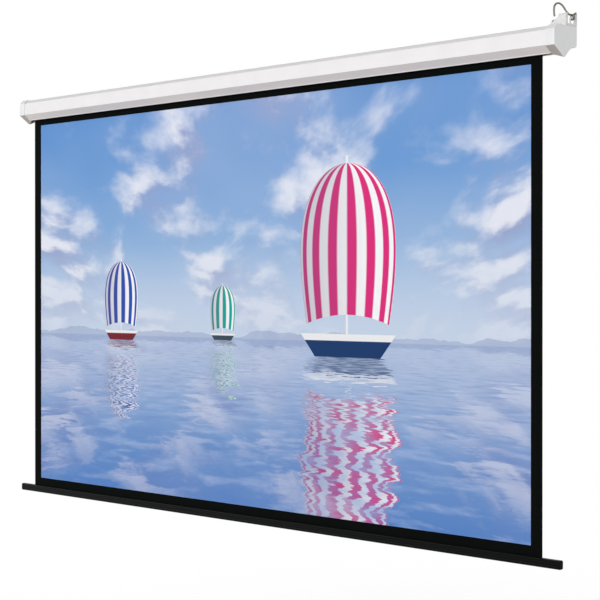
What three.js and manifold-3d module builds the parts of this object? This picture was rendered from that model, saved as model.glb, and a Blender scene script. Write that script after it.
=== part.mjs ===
// Wall projection screen: a case with a motorised roller, a hanging screen fabric with a black
// border, a weighted bottom bar and a wire hook.
// Millimetres. +X is the viewer's right, +Y points to the wall and +Z is up.
// The origin is on the wall, halfway between the two keyholes that the screen hangs on.
import * as THREE from "three";
import { mergeVertices } from "three/addons/utils/BufferGeometryUtils.js";
import Module from "manifold-3d";

const wasm = await Module();
wasm.setup();

// Clearances that all pieces share
const fitGap = 0.3;
const overrun = 5;

// Picture and fabric
const pictureWidth = 2214;
const pictureHeight = 1245;
const sideBorder = 38;
const bottomBorder = 28;
const pictureDrop = 91.5;
const fabricThickness = 0.42;
const maskingThickness = 0.2;

// End cap section, seen from the end
const frontRoom = 39.6;
const keyholeDrop = 24;
const topChamfer = 13;
const frontFaceHeight = 41.5;
const frontSlopeFall = 27.5;
const apexOffset = 4.8;
const apexFlat = 6;
const rearHeight = 50;
const rearCornerDepth = 5;
const rearCornerFall = 4;
const rearStepDepth = 24.7;
const rearStepFall = 5;
const capCornerRadius = 4;

// End caps
const capLength = 28.5;
const capWall = 2.2;
const capEndWall = 2.5;
const capEdgeRadius = 1.6;
const capRibThickness = 1.8;
const capRibHeight = 6;
const capRibShares = [0.8, 0.56, 0.17];

// Case: it reaches past the fabric on both sides, further on the right
const caseOverhang = 52.6;
const caseShift = 15.4;
const caseWall = 1.2;
const caseCornerRadius = 2.6;
const caseEndSetback = 12;
const slotWidth = 25;
const lipRadius = 1.7;
const portRadius = 3.5;
const portBore = 2;
const portMouth = 2.2;
const portSink = 0.8;

// End plates inside the caps
const plateThickness = 2.5;
const plateFootRise = 3;

// Roller
const tubeRadius = 20;
const tubeWall = 1.2;
const tubeEndGap = 20.4;
const rearRoom = 11.61;
const windingRoom = 8.86;
const deadWraps = 2;

// Motor
const motorClearance = 1.6;
const motorLength = 476;
const motorHeadStep = 1;
const motorHeadLength = 16;
const motorHeadGap = 3;
const studSide = 10;
const studReach = 6;
const shaftRadius = 6;
const shaftFlat = 4.4;
const shaftLength = 24;
const crownLength = 22;
const crownGrooves = 8;
const crownGrooveWidth = 3;
const crownGrooveDepth = 1;
const limitCrownLength = 16;
const limitScrewSpacing = 7.6;

// Idler end
const idlerPlugLength = 50;
const idlerFlangeThickness = 3;
const axleRadius = 5;
const axleInset = 35;
const axleEndGap = 3;
const bushWall = 1.7;
const bushFlangeRadius = 10;
const bushFlangeThickness = 2.3;
const bushReach = 1.5;

// Bottom bar
const barOverhang = 67.4;
const barShift = -6;
const barHeight = 24;
const barDepth = 17;
const barCornerRadius = 5;
const barPlugLength = 9;
const barPlugTongue = 16;
const barPlugEdge = 2.4;
const barGrooveWidth = 2.6;
const barGrooveDepth = 1;
const barGrooveSpacing = 7;
const keywayWidth = 2;
const keywayDepth = 3.4;
const keywayRadius = 3;
const rodRadius = 2.2;
const chamberWidth = 10.6;
const chamberHeight = 8.4;
const chamberFloor = 2.6;
const chamberCorner = 1;

// Keyhole plates on the back of the case
const keyholeInset = 25;
const keyholePlateWidth = 60;
const keyholePlateHeight = 38;
const keyholePlateRise = 15;
const keyholeEntryRadius = 5;
const keyholeSlotRadius = 2.6;
const keyholeFall = 8;
const keyholeMargin = 2.4;
const rivetRadius = 1.8;
const rivetHeadRadius = 3.4;
const rivetHeadHeight = 1.1;
const rivetSpread = 22;

// Hanger bracket on top of the right end cap
const sheet = 2;
const towerWidth = 25;
const towerSetback = 46;
const towerHeight = 27;
const towerChamfer = 5;
const towerShoulder = 8;
const ribWidth = 4;
const ribProud = 1.2;
const ribMargin = 3;
const earSetback = 19;
const earHeight = 13;
const earRadius = 11.5;
const earHoleRadius = 7.5;
const webHeight = 5;
const hornDepth = 8;
const hornHeight = 34;
const hornCorner = 6;
const flangeLength = 52;
const flangeScrewInset = 20;
const gussetLength = 26;
const gussetTop = 23.4;
const gussetToe = 8.4;
const gussetFlange = 11;
const rearSheetWidth = 21;
const wallHoleRadius = 3.2;
const wallHoleRise = 20;

// Wire hook
const wireRadius = 2.6;
const hookSpread = 59.5;
const hookReach = 50.6;
const ringSlack = 4.6;
const ringClearance = 0.9;
const tailReach = 7.5;
const tailRise = 18.4;
const wireCrossShare = 1.2;
const bowPlaneShare = -0.3;
const wireSides = 8;
const wireSteps = 76;

// Cable gland in the left end cap
const glandSetback = 18;
const glandDrop = 12;
const glandRadius = 5.6;
const glandBore = 3.4;
const glandFlangeRadius = 8.4;
const glandFlangeThickness = 2;
const glandInner = 5;

// Fasteners
const plateScrew = { head: 3.4, height: 2.2, shank: 1.6, length: 9 };
const capScrew = { head: 3.2, height: 1.8, shank: 1.5, length: 7 };
const blackScrew = { head: 5.2, height: 3.2, shank: 2.4, length: 7 };
const flangeScrew = { head: 4, height: 2.6, shank: 2, length: 6 };
const limitScrew = { head: 2.2, height: 1, shank: 1.4, length: 5 };

// Shares of a screw's own sizes
const screwTipShare = 0.6;
const screwEdgeShare = 0.5;
const screwCrownShare = 0.75;

// Numbers of straight steps on round shapes
const tubeSides = 24;
const holeSides = 16;
const screwSides = 10;
const cornerSteps = 3;
const edgeSteps = 2;

// The roller, its motor and the depth of the case, worked out from the tube and the fabric on it
const tubeBore = tubeRadius - tubeWall;
const motorRadius = tubeBore - motorClearance;
const motorHeadRadius = tubeRadius - motorHeadStep;
const woundInner = tubeRadius + fitGap;
const woundRadius = woundInner + deadWraps * fabricThickness;
const fabricRearY = -rearRoom - 2 * woundRadius - fitGap;
const fabricFrontY = fabricRearY - fabricThickness;
const fabricSetback = -(fabricRearY + fabricFrontY) / 2;
const capDepth = fabricSetback + frontRoom;
const apexSetback = fabricSetback - apexOffset;

// Places worked out from the sizes
const fabricHalfWidth = pictureWidth / 2 + sideBorder;
const barHalfLength = fabricHalfWidth + barOverhang;
const endX = fabricHalfWidth + caseOverhang;
const caseEndX = endX - caseEndSetback;
const tubeHalfLength = caseEndX - tubeEndGap;
const keyholeSpread = fabricHalfWidth - keyholeInset;
const capTopZ = keyholeDrop;
const pictureTopZ = capTopZ - pictureDrop;
const pictureFootZ = pictureTopZ - pictureHeight;
const barTopZ = pictureFootZ - bottomBorder;
const rollerY = -rearRoom - woundRadius;
const rollerZ = capTopZ - woundRadius - windingRoom;
const caseInset = capWall + fitGap;
const caseBackY = -caseInset;
const earZ = capTopZ + earHeight;
const keywayZ = barTopZ - keywayDepth - keywayRadius;

// Finishes
const caseWhite = new THREE.MeshStandardMaterial({ color: "#e6e4e5", roughness: 0.45, metalness: 0 });
const capWhite = new THREE.MeshStandardMaterial({ color: "#e2e3e3", roughness: 0.5, metalness: 0 });
const bracketWhite = new THREE.MeshStandardMaterial({ color: "#e4e5e2", roughness: 0.42, metalness: 0 });
const zincSteel = new THREE.MeshStandardMaterial({ color: "#b4b6b6", roughness: 0.38, metalness: 1 });
const blackSteel = new THREE.MeshStandardMaterial({ color: "#2a2b2a", roughness: 0.5, metalness: 1 });
const wireGrey = new THREE.MeshStandardMaterial({ color: "#6c6d66", roughness: 0.4, metalness: 1 });
const tubeAluminium = new THREE.MeshStandardMaterial({ color: "#c0c3c5", roughness: 0.35, metalness: 1 });
const motorSteel = new THREE.MeshStandardMaterial({ color: "#8f9496", roughness: 0.4, metalness: 1 });
const motorPlastic = new THREE.MeshStandardMaterial({ color: "#1f2022", roughness: 0.55, metalness: 0 });
const nylon = new THREE.MeshStandardMaterial({ color: "#d8d6cc", roughness: 0.6, metalness: 0 });
const redPlastic = new THREE.MeshStandardMaterial({ color: "#b3352c", roughness: 0.5, metalness: 0 });
const screenWhite = new THREE.MeshStandardMaterial({ color: "#8fb0dc", roughness: 0.9, metalness: 0 });
const borderBlack = new THREE.MeshStandardMaterial({ color: "#0c0e0e", roughness: 0.9, metalness: 0 });
const barBlack = new THREE.MeshStandardMaterial({ color: "#141615", roughness: 0.45, metalness: 0.4 });
const plugBlack = new THREE.MeshStandardMaterial({ color: "#161717", roughness: 0.55, metalness: 0 });

// The case and the bar are each off the fabric's middle, so each has a group of its own
const screen = new THREE.Group();
const housing = new THREE.Group();
const footBar = new THREE.Group();
housing.position.x = caseShift;
footBar.position.x = barShift;
screen.add(housing, footBar);

// Solids from closed geometries, and back
function solidOf(geometry) {
  const plain = geometry.clone();
  plain.deleteAttribute("normal");
  plain.deleteAttribute("uv");
  const merged = mergeVertices(plain);
  return new wasm.Manifold(
    new wasm.Mesh({
      numProp: 3,
      vertProperties: Float32Array.from(merged.attributes.position.array),
      triVerts: Uint32Array.from(merged.index.array),
    }),
  );
}

function geometryOf(solid) {
  const mesh = solid.getMesh();
  const geometry = new THREE.BufferGeometry();
  geometry.setAttribute("position", new THREE.BufferAttribute(mesh.vertProperties, mesh.numProp));
  geometry.setIndex(new THREE.BufferAttribute(mesh.triVerts, 1));
  geometry.computeVertexNormals();
  return geometry;
}

function piece(name, solid, material, group = housing) {
  const mesh = new THREE.Mesh(geometryOf(solid), material);
  mesh.name = name;
  group.add(mesh);
}

// Outlines
function point(first, second) {
  return new THREE.Vector2(first, second);
}

function box(low, high) {
  return [point(low[0], low[1]), point(low[0], high[1]), point(high[0], high[1]), point(high[0], low[1])];
}

// Moves every side of a clockwise outline inwards by the same distance
function inset(points, distance) {
  const count = points.length;
  const normal = (from, to) => {
    const along = to.clone().sub(from).normalize();
    return point(along.y, -along.x);
  };
  return points.map((corner, index) => {
    const before = normal(points[(index + count - 1) % count], corner);
    const after = normal(corner, points[(index + 1) % count]);
    const sum = before.clone().add(after);
    return corner.clone().addScaledVector(sum, distance / (1 + before.dot(after)));
  });
}

// A shape with each corner rounded to the radius, as far as its sides allow
function rounded(points, radius) {
  const shape = new THREE.Shape();
  const count = points.length;
  points.forEach((corner, index) => {
    const towards = points[(index + count - 1) % count].clone().sub(corner);
    const onwards = points[(index + 1) % count].clone().sub(corner);
    const turn = Math.PI - towards.angleTo(onwards);
    const room = Math.min(towards.length(), onwards.length()) / 2;
    const cut = Math.min(radius * Math.tan(turn / 2), room);
    const start = corner.clone().addScaledVector(towards.normalize(), cut);
    const finish = corner.clone().addScaledVector(onwards.normalize(), cut);
    if (index === 0) shape.moveTo(start.x, start.y);
    else shape.lineTo(start.x, start.y);
    shape.quadraticCurveTo(corner.x, corner.y, finish.x, finish.y);
  });
  shape.closePath();
  return shape;
}

function plain(points) {
  return new THREE.Shape(points);
}

// Extrusions along each axis: sections are (Y, Z) along X, (X, Z) along Y and (X, Y) along Z
const alongXTurn = new THREE.Matrix4().makeBasis(
  new THREE.Vector3(0, 1, 0),
  new THREE.Vector3(0, 0, 1),
  new THREE.Vector3(1, 0, 0),
);
const alongYTurn = new THREE.Matrix4().makeBasis(
  new THREE.Vector3(1, 0, 0),
  new THREE.Vector3(0, 0, 1),
  new THREE.Vector3(0, -1, 0),
);

function extruded(shape, depth, edge = 0) {
  return new THREE.ExtrudeGeometry(shape, {
    depth: depth - 2 * edge,
    curveSegments: cornerSteps,
    bevelEnabled: edge > 0,
    bevelThickness: edge,
    bevelSize: edge,
    bevelOffset: -edge,
    bevelSegments: edgeSteps,
  }).translate(0, 0, edge);
}

function alongX(shape, fromX, toX, edge = 0) {
  const low = Math.min(fromX, toX);
  const body = extruded(shape, Math.abs(toX - fromX), edge);
  return solidOf(body.applyMatrix4(alongXTurn).translate(low, 0, 0));
}

function alongY(shape, fromY, toY) {
  const high = Math.max(fromY, toY);
  const body = extruded(shape, Math.abs(toY - fromY));
  return solidOf(body.applyMatrix4(alongYTurn).translate(0, high, 0));
}

function alongZ(shape, fromZ, toZ) {
  const low = Math.min(fromZ, toZ);
  return solidOf(extruded(shape, Math.abs(toZ - fromZ)).translate(0, 0, low));
}

function rodX(radius, fromX, toX, y, z, sides) {
  const rod = new THREE.CylinderGeometry(radius, radius, Math.abs(toX - fromX), sides);
  return solidOf(rod.rotateZ(Math.PI / 2).translate((fromX + toX) / 2, y, z));
}

function rodY(radius, fromY, toY, x, z, sides) {
  const rod = new THREE.CylinderGeometry(radius, radius, Math.abs(toY - fromY), sides);
  return solidOf(rod.translate(x, (fromY + toY) / 2, z));
}

function rodZ(radius, fromZ, toZ, x, y, sides) {
  const rod = new THREE.CylinderGeometry(radius, radius, Math.abs(toZ - fromZ), sides);
  return solidOf(rod.rotateX(Math.PI / 2).translate(x, y, (fromZ + toZ) / 2));
}

function ringX(outer, inner, fromX, toX, y, z) {
  const reach = Math.sign(toX - fromX) * overrun;
  const bore = rodX(inner, fromX - reach, toX + reach, y, z, tubeSides);
  return rodX(outer, fromX, toX, y, z, tubeSides).subtract(bore);
}

// A turned solid whose axis points along a direction from a place
function turned(profile, place, direction, sides) {
  const lathe = new THREE.LatheGeometry(profile, sides);
  const turn = new THREE.Quaternion().setFromUnitVectors(new THREE.Vector3(0, 1, 0), direction);
  return solidOf(lathe.applyQuaternion(turn).translate(place.x, place.y, place.z));
}

// A pan-head screw: the place is where the head seats, and the direction is out of the head
function screw(size, place, direction) {
  const seat = place.clone().addScaledVector(direction, fitGap);
  const profile = [
    point(0, -size.length),
    point(size.shank * screwTipShare, -size.length),
    point(size.shank, -size.length + size.shank),
    point(size.shank, 0),
    point(size.head, 0),
    point(size.head, size.height * screwEdgeShare),
    point(size.head * screwCrownShare, size.height),
    point(0, size.height),
  ];
  return turned(profile, seat, direction, screwSides);
}

// The clearance hole for a screw's shank
function screwHole(size, place, direction) {
  const radius = size.shank + fitGap;
  const profile = [
    point(0, -size.length - overrun),
    point(radius, -size.length - overrun),
    point(radius, overrun),
    point(0, overrun),
  ];
  return turned(profile, place, direction, screwSides);
}

// The section of the end caps
function capSection() {
  const faceTop = capTopZ - topChamfer;
  const faceFoot = faceTop - frontFaceHeight;
  const apex = faceFoot - frontSlopeFall;
  const rearFoot = capTopZ - rearHeight;
  const stepFoot = rearFoot - rearCornerFall;
  return [
    point(-capDepth, faceFoot),
    point(-capDepth, faceTop),
    point(-capDepth + topChamfer, capTopZ),
    point(0, capTopZ),
    point(0, rearFoot),
    point(-rearCornerDepth, stepFoot),
    point(-rearStepDepth, stepFoot - rearStepFall),
    point(-apexSetback, apex),
    point(-apexSetback - apexFlat, apex),
  ];
}

const capOutline = capSection();
const caseOutline = inset(capOutline, caseInset);
const caseInner = inset(caseOutline, caseWall);

// The section's corners by name, in the order that it has them
function named(outline) {
  const [faceFoot, faceTop, topFront, topRear, rearFoot, rearStep, stepFoot, apexRear, apexFront] = outline;
  return { faceFoot, faceTop, topFront, topRear, rearFoot, rearStep, stepFoot, apexRear, apexFront };
}

const capAt = named(capOutline);
const caseAt = named(caseOutline);
const innerAt = named(caseInner);

// The height of a side of the section at a given depth
function heightAt(from, to, y) {
  return from.y + ((y - from.x) / (to.x - from.x)) * (to.y - from.y);
}

const slotFrontY = -fabricSetback - slotWidth / 2;
const slotRearY = -fabricSetback + slotWidth / 2;

// The middle of the case's wall at the two lips of the slot
const frontLipOut = heightAt(caseAt.apexFront, caseAt.faceFoot, slotFrontY);
const frontLipIn = heightAt(innerAt.apexFront, innerAt.faceFoot, slotFrontY);
const rearLipOut = heightAt(caseAt.stepFoot, caseAt.apexRear, slotRearY);
const rearLipIn = heightAt(innerAt.stepFoot, innerAt.apexRear, slotRearY);
const frontLipZ = (frontLipOut + frontLipIn) / 2;
const rearLipZ = (rearLipOut + rearLipIn) / 2;

// Screw ports run along the case in three of its inner corners
const portOffset = portRadius - portSink;
const portPlaces = [
  innerAt.faceTop.clone().add(point(portOffset, -portOffset)),
  innerAt.faceFoot.clone().add(point(portOffset, portOffset)),
  innerAt.rearFoot.clone().add(point(-portOffset, portOffset)),
];
const middle = point(rollerY, rollerZ);

function screwPort(place) {
  const inward = middle.clone().sub(place).normalize();
  const across = point(-inward.y, inward.x);
  const far = inward.clone().multiplyScalar(portRadius + overrun);
  const half = across.multiplyScalar(portMouth / 2);
  const mouth = plain([
    place.clone().add(half),
    place.clone().add(far).add(half),
    place.clone().add(far).sub(half),
    place.clone().sub(half),
  ]);
  return rodX(portRadius, -caseEndX, caseEndX, place.x, place.y, holeSides)
    .subtract(rodX(portBore, -endX, endX, place.x, place.y, holeSides))
    .subtract(alongX(mouth, -endX, endX));
}

const capScrewY = -(rearCornerDepth + rearStepDepth) / 2;
const capScrewZ = heightAt(capAt.rearStep, capAt.stepFoot, capScrewY);
const stepSide = capAt.stepFoot.clone().sub(capAt.rearStep).normalize();
const capScrewOut = new THREE.Vector3(0, -stepSide.y, stepSide.x).normalize();

function capScrewPlace(side) {
  return new THREE.Vector3(side * (endX - capLength / 2), capScrewY, capScrewZ);
}

const upward = new THREE.Vector3(0, 0, 1);
const towerBackY = -towerSetback + sheet;
const flangeScrewPlaces = [
  new THREE.Vector3(endX - flangeScrewInset, (towerBackY - earSetback) / 2, capTopZ + sheet),
  new THREE.Vector3(endX - flangeScrewInset, -sheet - flangeScrew.head * 2, capTopZ + sheet),
];

// The keyhole as an outline in X and Z, grown by a margin
function keyholeCut(centreX, margin, fromY, toY) {
  const slot = keyholeSlotRadius + margin;
  const entry = rodY(keyholeEntryRadius + margin, fromY, toY, centreX, -keyholeFall, holeSides);
  const top = rodY(slot, fromY, toY, centreX, 0, holeSides);
  const neck = alongY(plain(box([centreX - slot, -keyholeFall], [centreX + slot, 0])), fromY, toY);
  return entry.add(top).add(neck);
}

function keyholeCentre(side) {
  return side * keyholeSpread - caseShift;
}

function keyholeRivets(side) {
  return [-1, 1].map((way) => keyholeCentre(side) + way * rivetSpread);
}

function caseShell() {
  let shell = alongX(rounded(caseOutline, caseCornerRadius), -caseEndX, caseEndX);
  const hollow = rounded(caseInner, caseCornerRadius - caseWall);
  shell = shell.subtract(alongX(hollow, -endX, endX));
  const slot = plain(box([slotFrontY, capTopZ - capDepth], [slotRearY, rollerZ]));
  shell = shell.subtract(alongX(slot, -endX, endX));
  const lipX = endX - capLength - fitGap;
  shell = shell.add(rodX(lipRadius, -lipX, lipX, slotFrontY, frontLipZ, holeSides));
  shell = shell.add(rodX(lipRadius, -lipX, lipX, slotRearY, rearLipZ, holeSides));
  for (const place of portPlaces) shell = shell.add(screwPort(place));
  for (const side of [-1, 1]) {
    const wallInner = caseBackY - caseWall - fitGap;
    shell = shell.subtract(keyholeCut(keyholeCentre(side), keyholeMargin, wallInner, overrun));
    for (const x of keyholeRivets(side)) {
      shell = shell.subtract(rodY(rivetRadius + fitGap, wallInner, overrun, x, 0, screwSides));
    }
    shell = shell.subtract(screwHole(capScrew, capScrewPlace(side), capScrewOut));
  }
  for (const place of flangeScrewPlaces) shell = shell.subtract(screwHole(flangeScrew, place, upward));
  return shell;
}

// What is cut off the cap's foot: it runs from the case's lips down to the end wall's tip
function capFootCut(side) {
  const inner = side * (endX - capLength - overrun);
  const wall = side * (endX - capEndWall);
  const level = Math.min(frontLipZ, rearLipZ) - lipRadius;
  const tip = capAt.apexRear.y;
  const cut = [point(inner, tip - overrun), point(inner, level), point(wall, tip), point(wall, tip - overrun)];
  return alongY(plain(side > 0 ? cut : cut.reverse()), -capDepth - overrun, overrun);
}

// A moulded cap: a collar round the case's end, closed by an end wall with stiffening ribs
function endCap(side) {
  const inner = side * (endX - capLength);
  const outer = side * endX;
  const wall = side * (endX - capEndWall);
  const longer = side * (endX - capLength - 2 * capEdgeRadius);
  let cap = alongX(rounded(capOutline, capCornerRadius), longer, outer, capEdgeRadius);
  const trim = box([-capDepth - overrun, capTopZ - 2 * capDepth], [overrun, capTopZ + overrun]);
  cap = cap.subtract(alongX(plain(trim), side * (endX - 2 * capLength), inner));
  const hollow = rounded(inset(capOutline, capWall), capCornerRadius - capWall);
  cap = cap.subtract(alongX(hollow, inner - side * overrun, wall));
  const ribFoot = side * (endX - capEndWall - capRibHeight);
  for (const share of capRibShares) {
    const y = -capDepth * share;
    const rib = plain(box([y, capTopZ - rearHeight], [y + capRibThickness, capTopZ - capWall / 2]));
    cap = cap.add(alongX(rib, wall, ribFoot));
  }
  cap = cap.subtract(capFootCut(side));
  cap = cap.subtract(screwHole(capScrew, capScrewPlace(side), capScrewOut));
  if (side > 0) {
    for (const place of flangeScrewPlaces) cap = cap.subtract(screwHole(flangeScrew, place, upward));
  }
  if (side < 0) {
    const bore = glandRadius + fitGap;
    const glandZ = -glandDrop;
    cap = cap.subtract(rodX(bore, outer - overrun, wall + overrun, -glandSetback, glandZ, holeSides));
  }
  return cap;
}

// A steel plate that closes the case's end and carries the roller
function endPlate(side) {
  const near = side * caseEndX;
  const far = side * (caseEndX + plateThickness);
  const foot = Math.max(frontLipZ, rearLipZ) + plateFootRise;
  const keep = plain(box([-capDepth, foot], [0, capTopZ]));
  let plate = alongX(rounded(caseOutline, caseCornerRadius), near, far);
  plate = plate.intersect(alongX(keep, near - side * overrun, far + side * overrun));
  for (const place of portPlaces) {
    const radius = plateScrew.shank + fitGap;
    const bore = rodX(radius, near - side * overrun, far + side * overrun, place.x, place.y, screwSides);
    plate = plate.subtract(bore);
  }
  return plate;
}

function motorPlate() {
  const half = studSide / 2 + fitGap;
  const square = plain(box([rollerY - half, rollerZ - half], [rollerY + half, rollerZ + half]));
  return endPlate(-1).subtract(alongX(square, -endX, -caseEndX + overrun));
}

function idlerPlate() {
  const radius = axleRadius + fitGap + bushWall + fitGap;
  return endPlate(1).subtract(rodX(radius, caseEndX - overrun, endX, rollerY, rollerZ, holeSides));
}

function addEnds() {
  const names = { "-1": ["left", "motor_plate"], 1: ["right", "idler_plate"] };
  const plates = { "-1": motorPlate(), 1: idlerPlate() };
  for (const side of [-1, 1]) {
    const [word, plateName] = names[side];
    const outward = new THREE.Vector3(side, 0, 0);
    piece("end_cap_" + word, endCap(side), capWhite);
    piece("cap_screw_" + word, screw(capScrew, capScrewPlace(side), capScrewOut), zincSteel);
    piece(plateName, plates[side], zincSteel);
    portPlaces.forEach((place, index) => {
      const seat = new THREE.Vector3(side * (caseEndX + plateThickness), place.x, place.y);
      piece(plateName + "_screw_" + (index + 1), screw(plateScrew, seat, outward), zincSteel);
    });
  }
}

// Steel plates with keyholes, riveted to the back of the case
function keyholePlate(side) {
  const centre = keyholeCentre(side);
  const half = keyholePlateWidth / 2;
  const top = keyholePlateRise;
  const outline = box([centre - half, top - keyholePlateHeight], [centre + half, top]);
  let plate = alongY(rounded(outline, rivetHeadRadius), caseBackY, 0);
  plate = plate.subtract(keyholeCut(centre, 0, -capDepth, overrun));
  for (const x of keyholeRivets(side)) {
    plate = plate.subtract(rodY(rivetRadius + fitGap, -capDepth, overrun, x, 0, screwSides));
  }
  return plate;
}

function rivet(x) {
  const headY = caseBackY - caseWall - fitGap;
  const shank = rodY(rivetRadius, headY - fitGap, -fitGap, x, 0, screwSides);
  return shank.add(rodY(rivetHeadRadius, headY - rivetHeadHeight, headY, x, 0, screwSides));
}

function addKeyholePlates() {
  for (const [side, word] of [[-1, "left"], [1, "right"]]) {
    piece("keyhole_plate_" + word, keyholePlate(side), zincSteel);
    keyholeRivets(side).forEach((x, index) => {
      piece("keyhole_rivet_" + word + "_" + (index + 1), rivet(x), zincSteel);
    });
  }
}

// Hanger bracket places, measured from the cap's top and the end face
const towerTopZ = capTopZ + towerHeight;
const towerLeftX = endX - towerWidth;
const gussetLeftX = towerLeftX - gussetLength;
const gussetTopZ = capTopZ + gussetTop;
const gussetToeZ = capTopZ + gussetToe;
const gussetSlope = point(gussetLength, gussetTopZ - gussetToeZ).normalize();
const blackScrewOut = new THREE.Vector3(-gussetSlope.y, 0, gussetSlope.x);
const blackScrewPlace = new THREE.Vector3(
  gussetLeftX + gussetSlope.x * (blackScrew.head + 2 * sheet),
  -towerSetback + gussetFlange / 2,
  gussetToeZ + gussetSlope.y * (blackScrew.head + 2 * sheet),
);

// The tower's folded front sheet: upright, then leaning back at the top
function towerFront() {
  const foldTurn = Math.PI / 4;
  const lean = sheet * Math.tan(foldTurn / 2);
  const slant = sheet * Math.sin(foldTurn);
  const outline = plain([
    point(-towerSetback, capTopZ),
    point(-towerSetback, towerTopZ),
    point(-towerSetback + towerChamfer, towerTopZ + towerChamfer),
    point(-towerSetback + towerChamfer + slant, towerTopZ + towerChamfer - slant),
    point(towerBackY, towerTopZ - lean),
    point(towerBackY, capTopZ),
  ]);
  const front = alongX(outline, towerLeftX, endX);
  const middleX = towerLeftX + towerWidth / 2;
  const half = ribWidth / 2;
  const rib = plain([
    point(middleX - half, -towerSetback + sheet / 2),
    point(middleX - half / 2, -towerSetback - ribProud),
    point(middleX + half / 2, -towerSetback - ribProud),
    point(middleX + half, -towerSetback + sheet / 2),
  ]);
  return front.add(alongZ(rib, capTopZ + ribMargin, towerTopZ - ribMargin));
}

// The side web in the plane of the end face, with the round ear that holds the hook
function sideWeb() {
  const shoulderY = -towerSetback + towerShoulder;
  const tower = [
    point(-towerSetback, capTopZ),
    point(-towerSetback, towerTopZ),
    point(-towerSetback + towerChamfer, towerTopZ + towerChamfer),
    point(shoulderY, towerTopZ + towerChamfer),
    point(shoulderY, capTopZ),
  ];
  const floor = box([-towerSetback, capTopZ], [0, capTopZ + webHeight]);
  const horn = box([-hornDepth, capTopZ], [0, capTopZ + hornHeight]);
  const near = endX - sheet;
  const back = box([-earSetback, capTopZ], [0, earZ]);
  const below = box([-towerSetback, capTopZ - 2 * earRadius], [0, capTopZ]);
  const ear = rodX(earRadius, near, endX, -earSetback, earZ, tubeSides);
  const eye = rodX(earHoleRadius, near - overrun, endX + overrun, -earSetback, earZ, tubeSides);
  return alongX(plain(tower), near, endX)
    .add(alongX(plain(floor), near, endX))
    .add(alongX(rounded(horn, hornCorner), near, endX))
    .add(alongX(plain(back), near, endX))
    .add(ear)
    .subtract(alongX(plain(below), near - overrun, endX + overrun))
    .subtract(eye);
}

// The gusset: an upright triangle with a flange folded back along its slope
function gusset() {
  const web = plain([
    point(gussetLeftX, capTopZ),
    point(gussetLeftX, gussetToeZ),
    point(towerLeftX, gussetTopZ),
    point(towerLeftX, capTopZ),
  ]);
  const under = point(gussetSlope.y * sheet, -gussetSlope.x * sheet);
  const strip = plain([
    point(gussetLeftX, gussetToeZ),
    point(towerLeftX, gussetTopZ),
    point(towerLeftX + under.x, gussetTopZ + under.y),
    point(gussetLeftX + under.x, gussetToeZ + under.y),
  ]);
  return alongY(web, -towerSetback, towerBackY).add(
    alongY(strip, -towerSetback, -towerSetback + gussetFlange),
  );
}

function hangerBracket() {
  const flangeLeftX = endX - flangeLength;
  const base = plain(box([flangeLeftX, -towerSetback], [endX, 0]));
  const plateRightX = flangeLeftX + rearSheetWidth;
  const plateOutline = box([flangeLeftX, capTopZ], [plateRightX, capTopZ + hornHeight]);
  let bracket = alongZ(base, capTopZ, capTopZ + sheet);
  bracket = bracket.add(towerFront()).add(sideWeb()).add(gusset());
  bracket = bracket.add(alongY(rounded(plateOutline, hornCorner), -sheet, 0));
  const plateFoot = box([flangeLeftX, capTopZ], [plateRightX, capTopZ + hornCorner]);
  bracket = bracket.add(alongY(plain(plateFoot), -sheet, 0));
  const wallHole = point(flangeLeftX + rearSheetWidth / 2, capTopZ + wallHoleRise);
  bracket = bracket.subtract(
    rodY(wallHoleRadius, -sheet - overrun, overrun, wallHole.x, wallHole.y, holeSides),
  );
  const throughSheet = { ...blackScrew, length: sheet };
  bracket = bracket.subtract(screwHole(throughSheet, blackScrewPlace, blackScrewOut));
  for (const place of flangeScrewPlaces) {
    bracket = bracket.subtract(screwHole(flangeScrew, place, upward));
  }
  return bracket;
}

// The wire hook: a bow that opens downwards, a ring round the ear's rim and a short tail
function hookWire() {
  const passZ = earRadius + ringClearance + wireRadius;
  const reach = wireRadius + ringSlack;
  const cross = wireRadius * wireCrossShare;
  const bowShares = [
    [-0.978, 0.395],
    [-0.997, 0.545],
    [-1, 0.725],
    [-0.978, 0.874],
    [-0.901, 0.98],
    [-0.76, 1],
    [-0.597, 0.901],
    [-0.489, 0.773],
    [-0.397, 0.619],
    [-0.244, 0.447],
  ];
  const ringShares = [
    [-1.25, -1, 1.127],
    [-0.15, -1, 1],
    [0.76, -1, 0.83],
    [1, -0.7, 0.5],
    [0.55, 0, 0.25],
    [-0.15, 0.1, 0.19],
    [-0.8, 0.5, 0.3],
    [-1.12, 1, 0.62],
    [-0.7, 1, 0.935],
    [0.1, 1, 1.03],
  ];
  const local = [
    ...bowShares.map(([x, z]) => [x * hookSpread, x > bowPlaneShare ? -cross : 0, z * hookReach]),
    ...ringShares.map(([x, y, z]) => [x * reach, y * cross, z * passZ]),
    [tailReach, cross, tailRise],
  ];
  const route = local.map(([x, y, z]) => new THREE.Vector3(endX + x, -earSetback + y, earZ + z));
  const section = new THREE.Shape().absarc(0, 0, wireRadius, 0, 2 * Math.PI);
  const corners = section.getSpacedPoints(wireSides).slice(0, wireSides);
  const wire = new THREE.ExtrudeGeometry(plain(corners), {
    steps: wireSteps,
    bevelEnabled: false,
    extrudePath: new THREE.CatmullRomCurve3(route, false, "centripetal"),
  });
  return solidOf(wire);
}

function addHanger() {
  piece("hanger_bracket", hangerBracket(), bracketWhite);
  piece("hanger_screw_front", screw(blackScrew, blackScrewPlace, blackScrewOut), blackSteel);
  flangeScrewPlaces.forEach((place, index) => {
    piece("hanger_screw_" + (index + 1), screw(flangeScrew, place, upward), zincSteel);
  });
  piece("wire_hook", hookWire(), wireGrey);
}

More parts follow.
